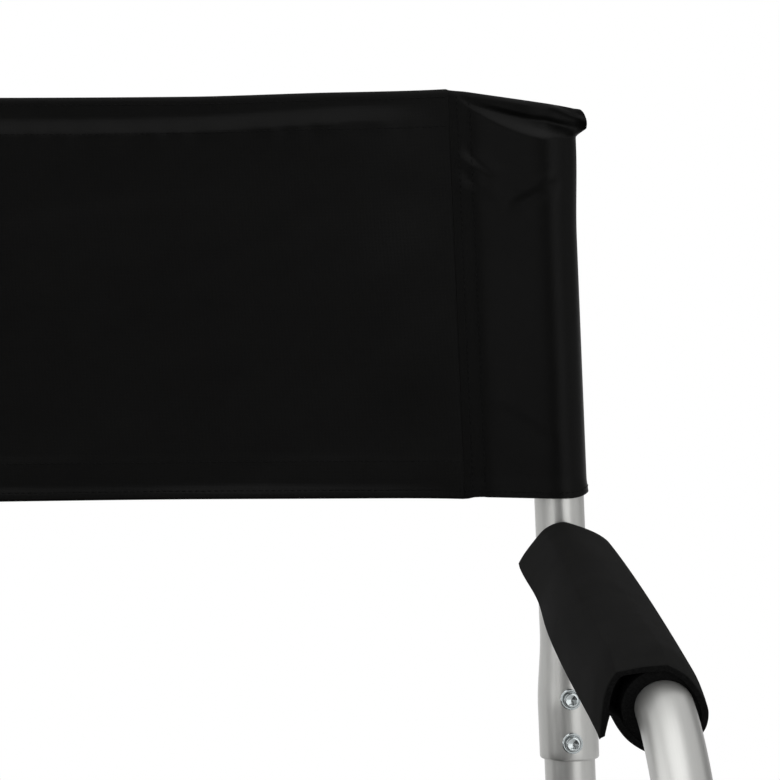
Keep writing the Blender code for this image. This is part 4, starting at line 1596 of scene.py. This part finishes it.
    def _sew(self, kit: MeshKit, points: Array, along: Array, normals: Array) -> None:
        """Sews the lap to the panel and the pocket's turned foot.

        Args:
            kit: the mesh that the pocket is in.
            points: the pocket's skin.
            along: how far up each point is.
            normals: the way out of the cloth.
        """
        loop = self._loop()
        for place in self.seam_rows:
            for end in (1, -1):
                column = int(np.argmin(np.abs(loop[:, 0] - place) + (np.sign(loop[:, 1]) != end)))
                ClothWork.stitches(kit, points[1:-1, column], normals[1:-1, column])
        row = int(np.argmin(np.abs(along[:, self.around // 2] - self.cut.foot - self.foot_seam)))
        ClothWork.stitches(kit, points[row], normals[row])

    def build(self) -> None:
        """Makes one pocket: outer and inner skins joined at the foot, and shut along the top."""
        raw, along = self._skin()
        points = self.place(raw)
        normals = grid_normals(points)
        middle = self.around // 2
        if normals[0, middle, 0] * self.side.value < 0:
            normals = -normals
        chart = grid_map(points)
        chart = np.concatenate([chart, chart[:, -1:] + (2 * self.lap_half, 0)], axis=1)
        lined = int(self.rows * self.lined)
        kit = MeshKit()
        outer = kit.grid(points, chart, wrap=True)
        inner = kit.grid(points[:lined] - self.cloth * normals[:lined], chart[:lined], wrap=True)
        kit.bridge(outer[0], inner[0], wrap=True)
        kit.cap(inner[-1])
        kit.bridge(outer[-1][:middle], outer[-1][::-1][:middle])
        self._sew(kit, points, along, normals)
        piece = kit.build(self.node("back_pocket"), self.finishes.sewn, sharp=70.0)
        fit(piece, self.node("back_sleeve"), self.side.frame_body)
        width = float(travel(self._loop())[-1])
        self.node("post_tube")


@dataclass(frozen=True)
class PanelRelief:
    """How far the faces of the back panel stand from its middle: hems, a roll below the top, and slow waves."""

    hem_ease: float = 0.0012
    front_hem: float = 0.0002
    rear_hem: float = 0.0008
    free_from: float = 0.012
    free_reach: float = 0.05
    roll: float = 0.0026
    roll_start: float = 0.0045
    roll_sink: float = 0.0040
    roll_half: float = 0.19
    roll_fade: float = 0.17
    roll_rise: float = 0.011
    roll_hold: float = 0.010
    roll_fall: float = 0.016
    pucker: float = 0.00022
    pucker_pitch: float = 0.0190
    pucker_place: float = 0.0175
    pucker_band: float = 0.0040
    stray: float = 1.6
    stray_pitch: float = 0.061
    stray_start: float = 0.7
    rim: float = 0.0035
    rim_round: float = 0.0006
    wave: float = 0.0009
    wave_start: float = 0.040
    wave_pitch: float = 0.150
    ripple: float = 0.0007
    ripple_slant: float = 0.22
    ripple_pitch: float = 0.057
    ripple_drift: float = 15.0
    wave_fade: float = 0.03
    kick: float = 0.0010
    kick_top: float = 0.007
    kick_ease: float = 0.006

    def faces(self, middle: Array, half: float, hem: float) -> tuple[Array, Array]:
        """Works out both faces.

        Args:
            middle: rows and columns of the panel's middle.
            half: half the cloth's thickness.
            hem: how deep the turned hems are.

        Returns:
            How far the front and the rear stand from the middle.
        """
        turn = 2 * math.pi
        chart = grid_map(middle)
        above, below = chart[..., 1], chart[-1:, :, 1] - chart[..., 1]
        centre = 0.5 * chart[:, -1:, 0]
        lean = chart[..., 0] - centre
        free = smooth_step((centre - np.abs(lean) - self.free_from) / self.free_reach)
        turned = smooth_step((hem - below) / self.hem_ease) + smooth_step((hem - above) / self.hem_ease)
        start = self.roll_start + self.roll_sink * smooth_step((self.roll_half - np.abs(lean)) / self.roll_fade)
        fall = np.exp(-np.maximum(below - start - self.roll_hold, 0) / self.roll_fall)
        roll = self.roll * smooth_step((below - start) / self.roll_rise) * fall
        stray = self.stray * np.sin(turn * lean / self.stray_pitch + self.stray_start)
        band = np.exp(-((below - self.pucker_place) / self.pucker_band) ** 2)
        roll = roll + self.pucker * np.sin(turn * lean / self.pucker_pitch + stray) * band
        fade = smooth_step((below - self.wave_fade) / self.wave_fade)
        wave = self.wave * np.sin(turn * (below - self.wave_start) / self.wave_pitch)
        slanted = turn * (below + self.ripple_slant * lean) / self.ripple_pitch + self.ripple_drift * lean
        wave = (wave + self.ripple * np.sin(slanted)) * fade
        kick = self.kick * smooth_step((self.kick_top - above) / self.kick_ease)
        moved = free * (roll + wave + kick)
        round_off = self.rim_round * (1 - np.sqrt(1 - np.clip(1 - below / self.rim, 0, 1) ** 2))
        front = half + self.front_hem * turned + moved - round_off
        rear = half + self.rear_hem * turned - moved - round_off
        return front, rear


@dataclass
class BackPanel:
    """The cloth panel between the back pockets, drawn taut, with turned hems at its free edges."""

    frame: SideFrame
    finishes: Finishes
    cut: BackCut
    tongue: float = 0.0372
    panel_edge: float = 0.0403
    edge_r: float = 0.0010
    draw_down: float = 0.0008
    draw_up: float = 0.0023
    hang: float = 0.0015
    hang_reach: float = 0.006
    tuck_under: float = 0.0012
    tuck_reach: float = 0.002
    side_rise: float = 0.0012
    rise_from: float = 0.3
    rise_reach: float = 0.4
    billow: float = 0.006
    billow_even: float = 0.8
    billow_middle: float = 0.4
    hem: float = 0.020
    hem_rows: tuple[float, ...] = (0.0030, 0.0175)
    bare: int = 4
    edge_points: int = 5
    edge_bulge: float = 0.8
    edge_step: float = 0.0004
    sewn: int = 3
    settle_limit: float = 0.0060
    shrink: float = 0.01
    fine_rows: int = 100
    crowding: float = 0.75
    fold_inward: float = 0.0459
    fold_height: float = 0.13
    folded: float = 0.061
    cells: tuple[int, int] = (150, 72)
    relief: PanelRelief = PanelRelief()

    def _middle(self) -> Array:
        """The panel's middle as it is cut.

        Returns:
            Points by rows upward and columns from the right side to the left.
        """
        columns, rows = self.cells
        half_width = self.frame.half - self.panel_edge
        reach = (self.frame.half - self.tongue) / half_width
        place = np.linspace(-reach, reach, columns + 1)[None]
        share = np.linspace(0, 1, rows + 1)[:, None]
        bow = np.clip(1 - place ** 2, 0, 1)
        under = np.maximum(self.cut.lap - self.frame.half + np.abs(place) * half_width, 0)
        drop = self.tuck_under * smooth_step(under / self.tuck_reach) + under * self.cut.slope
        drop = drop - self.side_rise * smooth_step((np.abs(place) - self.rise_from) / self.rise_reach)
        hang = self.hang * (1 - smooth_step(under / self.hang_reach))
        foot = self.cut.foot + self.edge_r - hang + self.draw_up * bow
        head = self.cut.seam_top - self.edge_r - self.draw_down * bow - drop
        along = foot + (head - foot) * share
        back = self.billow * bow * (self.billow_even + self.billow_middle * np.sin(math.pi * share))
        side = self.frame.beside_post(np.full(along.shape, self.panel_edge), back, along)
        edge = self.frame.place(Side.LEFT, side)
        edge[..., 0] *= place
        return edge

    def _settled(self) -> Array:
        """The panel's middle once it has settled between its sewn sides.

        Returns:
            The same rows, closer at the free edges.
        """
        middle = self._middle()
        held = np.zeros(middle.shape[:2])
        held[:, :self.sewn] = held[:, -self.sewn:] = 1.0
        settled = ClothWork.settle(middle, held, self.settle_limit, shrink=self.shrink)
        return closer_rows(settled, self.fine_rows, self.crowding)

    def build(self) -> None:
        """Makes the panel and gives it a mesh of its own."""
        middle = self._settled()
        forward = grid_normals(middle)
        forward = forward * np.sign(np.sum(forward * self.frame.forward, axis=-1, keepdims=True))
        front, rear = self.relief.faces(middle, self.cut.half, self.hem)
        faces = {1: middle + front[..., None] * forward, -1: middle - rear[..., None] * forward}
        chart = grid_map(middle)
        # One skin goes up the rear face, over the top edge, down the front and round the bottom edge.
        turns = np.linspace(0, math.pi, self.edge_points + 2)[1:-1]
        strips = {}
        for end, row, beside in ((1, -1, -2), (-1, 0, 1)):
            up = unit(middle[row] - middle[beside])
            thick = (front + rear)[row][:, None]
            centre = (faces[1][row] + faces[-1][row]) / 2
            arc = [centre + thick / 2 * (-end * math.cos(a) * forward[row] + self.edge_bulge * math.sin(a) * up)
                   for a in turns]
            steps = np.arange(self.edge_points)[:, None, None] * (0, self.edge_step * end)
            strips[end] = np.array(arc), np.repeat(chart[row][None], self.edge_points, axis=0) + steps
        skin = np.concatenate([faces[-1], strips[1][0], faces[1][::-1], strips[-1][0]]).transpose(1, 0, 2)
        flat = np.concatenate([chart, strips[1][1], chart[::-1], strips[-1][1]]).transpose(1, 0, 2)
        kit = MeshKit()
        kit.tube(skin, np.concatenate([flat, flat[:, :1]], axis=1))
        ClothWork.sew_hems(kit, chart, faces, forward, self.hem_rows, self.bare)
        piece = kit.build("back_panel_cloth", self.finishes.sewn, sharp=70.0)
        fit(piece, "back_panel", Side.LEFT.frame_body)
        inward, level, height = np.array(self.fold_inward), np.array(0.0), np.array(self.fold_height)
        anchor = self.frame.place(Side.LEFT, self.frame.beside_post(inward, level, height))
        tuple(float(x) for x in anchor)
        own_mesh(piece)


@dataclass
class BackCloth:
    """The cloth back: a pocket on each post and the panel between them."""

    frame: SideFrame
    finishes: Finishes
    cut: BackCut = BackCut()

    def build(self) -> None:
        """Makes both pockets and the panel."""
        for side in Side:
            BackPocket(self.frame, side, self.finishes, self.cut).build()
        BackPanel(self.frame, self.finishes, self.cut).build()


@dataclass
class SeatCloth:
    """The cloth seat: a pocket on each rail and the panel that sags between them."""

    finishes: Finishes
    rail: Rail = SEAT_RAIL
    gap: float = 0.0003
    cloth: float = 0.0010
    half: float = 0.0008
    turned: float = 0.0002
    turned_reach: float = 0.012
    turned_ease: float = 0.001
    seam_row: int = 8
    sag: float = 0.022
    hem_rise: float = 0.004
    wrap_angle: float = math.radians(20.0)
    wrap_points: int = 7
    hem: float = 0.020
    hem_ease: float = 0.0012
    top_hem: float = 0.0002
    low_hem: float = 0.0007
    side_slope: float = 0.03
    pucker: float = 0.0003
    pucker_pitch: float = 0.0115
    stray: float = 2.0
    stray_pitch: float = 0.05
    pucker_place: float = 0.026
    pucker_band: float = 0.012
    hem_rows: tuple[float, ...] = (0.0030, 0.0175)
    seam_columns: tuple[int, ...] = (4, 7, -8, -5)
    sewn: int = 8
    settle_limit: float = 0.0030
    fold_x: float = 0.1923
    folded: float = 0.033
    cells: tuple[int, int] = (110, 110)
    around: int = 48
    rows: int = 120

    @property
    def reach(self) -> float:
        """From the rail's axis to the middle of the panel's cloth where it lies on the pocket."""
        return self.rail.r + self.gap + self.cloth + self.half + self.gap

    def pocket(self, side: Side) -> None:
        """One pocket round its rail, with turned ends.

        Args:
            side: which side of the chair.
        """
        low, high = (corner.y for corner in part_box(f"{side.label}_seat_sleeve"))
        y = np.linspace(low, high, self.rows)
        ends = np.minimum(y - low, high - y)
        turned = self.turned * smooth_step((self.turned_reach - ends) / self.turned_ease)
        bore = self.rail.r + self.gap
        kit = MeshKit()
        skins = []
        for radius in (bore + self.cloth - self.turned + turned, bore + 0 * turned):
            skins.append(self.rail.rings(side, y, radius, self.around))
        outer, inner = (kit.grid(skin, ring_map(skin), wrap=True) for skin in skins)
        kit.bridge(outer[0], inner[0], wrap=True)
        kit.bridge(outer[-1], inner[-1], wrap=True)
        spin = circle(self.around)
        spin = np.concatenate([spin, spin[:1]])
        normals = np.stack([spin[:, 0], 0 * spin[:, 0], spin[:, 1]], axis=-1)
        for row in (self.seam_row, -1 - self.seam_row):
            ClothWork.stitches(kit, np.concatenate([skins[0][row], skins[0][row][:1]]), normals)
        piece = kit.build(f"{side.label}_seat_pocket", self.finishes.sewn, sharp=60.0)
        fit(piece, f"{side.label}_seat_sleeve", side.seat_body)

    def _middle(self) -> Array:
        """The panel's middle as it is cut.

        Returns:
            Points by rows from front to rear and columns from right to left.
        """
        low, high = (corner.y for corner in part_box("seat_panel"))
        columns, rows = self.cells
        y = np.linspace(low, high, rows + 1)[:, None]
        hem = np.abs(2 * (y - low) / (high - low) - 1) ** 4
        slope = 2 * self.sag / self.rail.x
        half_width = self.rail.x - self.reach * slope
        place = np.linspace(-1, 1, columns + 1)[None]
        z = self.rail.z + self.reach - (self.sag - self.hem_rise * hem) * (1 - place ** 2)
        span = np.stack([half_width * place + 0 * y, y + 0 * place, z], axis=-1)
        turns = np.linspace(-math.atan(slope), self.wrap_angle, self.wrap_points)[1:]
        over = np.stack([self.rail.x + self.reach * np.sin(turns), 0 * turns,
                         self.rail.z + self.reach * np.cos(turns)], axis=-1)
        left = np.repeat(over[None], rows + 1, axis=0)
        left[..., 1] = y
        right = left[:, ::-1] * (-1, 1, 1)
        return np.concatenate([right, span, left], axis=1)

    def panel(self) -> None:
        """The panel, laid over the rails and sewn to the pockets, with turned hems front and rear."""
        middle = self._middle()
        held = np.zeros(middle.shape[:2])
        held[:, :self.sewn] = held[:, -self.sewn:] = 1.0
        middle = ClothWork.settle(middle, held, self.settle_limit)
        up = grid_normals(middle)
        up = up * np.sign(up[..., 2:])
        chart = grid_map(middle)
        ends = np.minimum(chart[..., 1], chart[-1:, :, 1] - chart[..., 1])
        hem = smooth_step((self.hem - ends) / self.hem_ease)
        side = np.minimum(chart[..., 0], chart[:, -1:, 0] - chart[..., 0])
        stray = self.stray * np.sin(chart[..., 1] / self.stray_pitch)
        band = np.exp(-((side - self.pucker_place) / self.pucker_band) ** 2)
        pucker = self.pucker * np.sin(chart[..., 1] / self.pucker_pitch + stray) * band
        top = self.half + self.top_hem * hem + pucker
        low = self.half + self.low_hem * hem - pucker
        low = np.minimum(low, self.half + self.top_hem + side * self.side_slope)
        faces = {1: middle + top[..., None] * up, -1: middle - low[..., None] * up}
        kit = MeshKit()
        above, below = (kit.grid(points, chart) for points in faces.values())
        for line in (np.s_[0, :], np.s_[-1, :], np.s_[:, 0], np.s_[:, -1]):
            kit.bridge(above[line], below[line])
        ClothWork.sew_hems(kit, chart, faces, up, self.hem_rows, self.sewn)
        for column in self.seam_columns:
            ClothWork.stitches(kit, faces[1][1:-1, column], up[1:-1, column])
        piece = kit.build("seat_panel_cloth", self.finishes.sewn, sharp=70.0)
        fit(piece, "seat_panel", Side.LEFT.seat_body)
        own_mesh(piece)

    def build(self) -> None:
        """Makes both pockets and the panel."""
        for side in Side:
            self.pocket(side)
        self.panel()


@dataclass
class Feet(SidePart):
    """The moulded feet under the legs of one side, with two grip grooves each.

    The sole's stations are heights and radii, from its middle to its outer edge.
    """

    base_r: float = 0.0165
    top_r: float = 0.0155
    height: float = 0.032
    socket_r: float = 0.0131
    floor: float = 0.006
    sole: tuple[Pair, ...] = (
        (0.0009, 0.0002), (0.0009, 0.0090), (0.0, 0.0102), (0.0, 0.0140), (0.0006, 0.0157))
    sole_edge: float = 0.002
    grooves: tuple[float, ...] = (0.0100, 0.0150)
    groove_depth: float = 0.0006
    groove_width: float = 0.0018
    groove_slope: float = 0.0004
    rim: tuple[Pair, ...] = ((0.0008, 0.0), (0.0002, 0.0003), (0.0, 0.0007))
    mouth: tuple[Pair, ...] = ((0.0, 0.0003), (0.0004, 0.0))
    sides: int = 56

    def _profile(self) -> Array:
        """The turned outline, from the middle of the sole to the bottom of the socket.

        Returns:
            Height and radius of each station.
        """
        edge = [*self.sole, (self.sole_edge, self.base_r)]
        slope, deep, width = self.groove_slope, self.groove_depth, self.groove_width
        for groove in self.grooves:
            wall = self.base_r - (self.base_r - self.top_r) * groove / self.height
            edge += [(groove, wall), (groove + slope, wall - deep), (groove + width - slope, wall - deep),
                     (groove + width, wall)]
        edge += [(self.height - down, self.top_r - inset) for down, inset in self.rim]
        edge += [(self.height - down, self.socket_r + out) for down, out in self.mouth]
        return np.array([*edge, (self.floor, self.socket_r)])

    def build(self) -> None:
        """Makes the front and rear feet of one side."""
        profile, spin = self._profile(), circle(self.sides)
        reach = profile[:, 1:, None] * spin
        z = np.repeat(profile[:, :1], self.sides, axis=1)
        leg_y = {"front": np.full(z.shape, self.frame.front_leg_y),
                 "rear": (z - self.frame.arm_height) * math.tan(self.frame.rake)}
        for end, y in leg_y.items():
            node = self.node(f"{end}_foot")
            kit = MeshKit()
            kit.tube(self.place(np.stack([reach[..., 0], y + reach[..., 1], z], axis=-1)))
            piece = kit.build(f"{node}_moulding", [self.finishes.plastic], sharp=50.0)
            fit(piece, node, self.side.frame_body)


@dataclass
class Fittings:
    """The clamps, cradles, caps, nuts, bars and pivots, which keep their own shapes."""

    finishes: Finishes
    moulded_edge: float = 0.8 * MM
    cap_edge: float = 0.4 * MM
    bar_edge: float = 0.7 * MM
    steel_edge: float = 0.3 * MM
    sharp: float = math.radians(30.0)
    weld: float = 1e-5

    def _ease(self, piece: Object, material: Material, edge: float) -> None:
        """Dresses a fitting: smooth faces, eased edges and its finish.

        Args:
            piece: the fitting.
            material: its finish.
            edge: how far its edges are eased, in metres.
        """
        mesh = piece.data
        for name in ("custom_normal", "sharp_edge", "sharp_face"):
            if name in mesh.attributes:
                mesh.attributes.remove(mesh.attributes[name])
        mesh.materials.clear()
        mesh.materials.append(material)
        weld = piece.modifiers.new("joined", "WELD")
        weld.merge_threshold = self.weld
        ease = piece.modifiers.new("eased", "BEVEL")
        ease.width = edge
        ease.segments = 2
        ease.limit_method = "ANGLE"
        ease.angle_limit = self.sharp
        ease.harden_normals = True

    def dress(self, nodes: dict[str, Object]) -> None:
        """Eases the edges of each fitting and gives it its finish.

        Args:
            nodes: the chair's solids by name.
        """
        plastic, zinc, bar = self.finishes.plastic, self.finishes.zinc, self.finishes.bar
        kinds = {"clamp": (plastic, self.moulded_edge), "cradle": (plastic, self.moulded_edge),
                 "cap": (plastic, self.cap_edge), "washer": (plastic, self.cap_edge),
                 "nut": (zinc, self.steel_edge), "rivet": (zinc, self.steel_edge), "cross_bar": (bar, self.bar_edge)}
        for name, piece in sorted(nodes.items()):
            kind = next((word for word in kinds if word in name), None)
            if kind and not piece.hide_render:
                self._ease(piece, *kinds[kind])
                LOG.info("%s is dressed", name)


@dataclass(frozen=True)
class SoftBox:
    """A soft box: where it hangs, what it faces, its width and height, and its strength in watts."""

    name: str
    place: Triple
    aim: Triple
    size: Pair
    power: float

    def hang(self) -> None:
        """Hangs the box in the studio."""
        data = bpy.data.lights.new(self.name, "AREA")
        data.shape = "RECTANGLE"
        data.size, data.size_y = self.size
        data.energy = self.power
        lamp = bpy.data.objects.new(self.name, data)
        lamp.location = self.place
        lamp.rotation_euler = (Vector(self.aim) - Vector(self.place)).to_track_quat("-Z", "Y").to_euler()
        lamp.visible_camera = False
        bpy.context.scene.collection.objects.link(lamp)


@dataclass(frozen=True)
class Flag:
    """An upright flag that shows only in what mirrors it: its two sides on the floor plan, heights and brightness."""

    name: str
    start: Pair
    end: Pair
    low: float
    high: float
    level: float

    def stand(self) -> None:
        """Stands the flag in the studio."""
        material = bpy.data.materials.new(self.name)
        material.use_nodes = True
        inputs = material.node_tree.nodes["Principled BSDF"].inputs
        inputs["Base Color"].default_value = (0.0, 0.0, 0.0, 1.0)
        inputs["Specular IOR Level"].default_value = 0.0
        inputs["Emission Color"].default_value = (1.0, 1.0, 1.0, 1.0)
        inputs["Emission Strength"].default_value = self.level
        kit = MeshKit()
        kit.grid(np.array([[(*self.start, z), (*self.end, z)] for z in (self.low, self.high)]))
        card = kit.build(self.name, [material])
        card.visible_camera = card.visible_diffuse = card.visible_shadow = False


@dataclass
class Studio:
    """Floor, light and camera: a pale floor under soft light, seen as a product is shown on white."""

    eye: Triple = (0.0175, -1.66086, 0.951)
    turn: float = 4.395
    dip: float = 7.587
    sensor: float = 36.0
    lens: float = 36.0 * 3817.5 / 780
    clip: Pair = (0.05, 50.0)
    floor_r: float = 1.9
    floor_z: float = -0.0005
    floor_hub: float = 0.02
    floor_tone: float = 0.86
    floor_rough: float = 0.7
    floor_fade: Pair = (0.75, 0.98)
    floor_rings: int = 24
    floor_sides: int = 96
    fill: float = 0.72
    boxes: tuple[SoftBox, ...] = (
        SoftBox("soft_top", (-0.15, -0.3, 2.6), (-0.15, -0.2999, 0.0), (1.9, 2.2), 20.0),
        SoftBox("soft_left", (-1.62, -1.44, 0.44), (0.2, 0.1, 0.43), (1.65, 0.17), 3.8),
        SoftBox("soft_right", (1.30, -2.05, 1.2), (0.1, 0.1, 0.8), (1.6, 2.0), 12.0))
    flags: tuple[Flag, ...] = (
        Flag("white_left", (-2.60, -1.00), (-2.60, 2.20), 0.90, 3.70, 2.00),
        Flag("white_high", (-0.40, -2.25), (0.90, -2.25), 1.95, 2.90, 3.00),
        Flag("dark_low", (-0.68, -0.33), (-0.01, -0.84), -0.2, 0.49, 0.06),
        Flag("dark_front", (-0.85, -1.80), (-0.10, -2.10), 0.30, 0.85, 0.72),
        Flag("dark_camera", (-1.00, -2.30), (0.62, -2.30), 0.30, 1.95, 0.15),
        Flag("grey_behind", (0.45, 2.60), (2.70, 0.70), 0.10, 0.62, 0.70),
        Flag("dark_behind", (0.45, 2.60), (2.70, 0.10), 0.62, 1.40, 0.22))

    def camera(self) -> None:
        """Sets up the camera."""
        data = bpy.data.cameras.new("camera")
        data.sensor_width, data.lens = self.sensor, self.lens
        data.clip_start, data.clip_end = self.clip
        camera = bpy.data.objects.new("camera", data)
        camera.location = self.eye
        camera.rotation_euler = (math.radians(90 - self.dip), 0.0, math.radians(-self.turn))
        bpy.context.scene.collection.objects.link(camera)
        bpy.context.scene.camera = camera

    def world(self) -> None:
        """A white surround for what is seen and mirrored, and a softer level for what lights the chair."""
        world = bpy.data.worlds.new("surround")
        bpy.context.scene.world = world
        world.use_nodes = True
        hand = NodeHand(world.node_tree)
        world.node_tree.nodes.clear()
        path = hand.add("ShaderNodeLightPath").outputs
        seen = hand.math("MAXIMUM", path["Is Camera Ray"], path["Is Glossy Ray"])
        seen = hand.math("MAXIMUM", seen, path["Is Transmission Ray"])
        lit, white = (hand.add("ShaderNodeBackground", {"Color": (1, 1, 1, 1), "Strength": level}).outputs[0]
                      for level in (self.fill, 1.0))
        both = hand.add("ShaderNodeMixShader", {0: seen, 1: lit, 2: white})
        hand.add("ShaderNodeOutputWorld", {"Surface": both.outputs[0]})

    def floor(self) -> None:
        """A round pale floor that fades into the white round it."""
        radii = np.linspace(self.floor_hub, self.floor_r, self.floor_rings)
        flat = radii[:, None, None] * circle(self.floor_sides)
        rings = np.concatenate([flat, np.full((*flat.shape[:2], 1), self.floor_z)], axis=-1)
        tone = (self.floor_tone,) * 3
        material, hand, shader = Finish("pale_floor", tone, self.floor_rough).start()
        far = hand.add("ShaderNodeVectorMath", {0: hand.solid_place()}, operation="LENGTH").outputs["Value"]
        near_end, far_end = (share * self.floor_r for share in self.floor_fade)
        hand.set(shader.inputs["Alpha"], hand.span(far, near_end, far_end, to_low=1.0, to_high=0.0))
        kit = MeshKit()
        numbers = kit.grid(rings, wrap=True)
        kit.cap(numbers[0])
        kit.build("pale_floor", [material])

    def build(self) -> None:
        """Sets up the whole studio."""
        bpy.context.scene.view_settings.view_transform = "Standard"
        self.camera()
        self.world()
        self.floor()
        for box in self.boxes:
            box.hang()
        for flag in self.flags:
            flag.stand()


def main() -> None:
    """Builds the chair's looks in order."""
    logging.basicConfig(level=logging.INFO, format="%(name)s: %(message)s")
    Studio().build()
    finishes = Finishes()
    side_frame = SideFrame()
    for side in Side:
        for kind in (SideTubes, BellBolts, ArmPad, Feet):
            kind(side_frame, side, finishes).build()
    BackCloth(side_frame, finishes).build()
    SeatCloth(finishes).build()
    Fittings(finishes).dress(frame["nodes"])


if __name__ == "__main__":
    main()
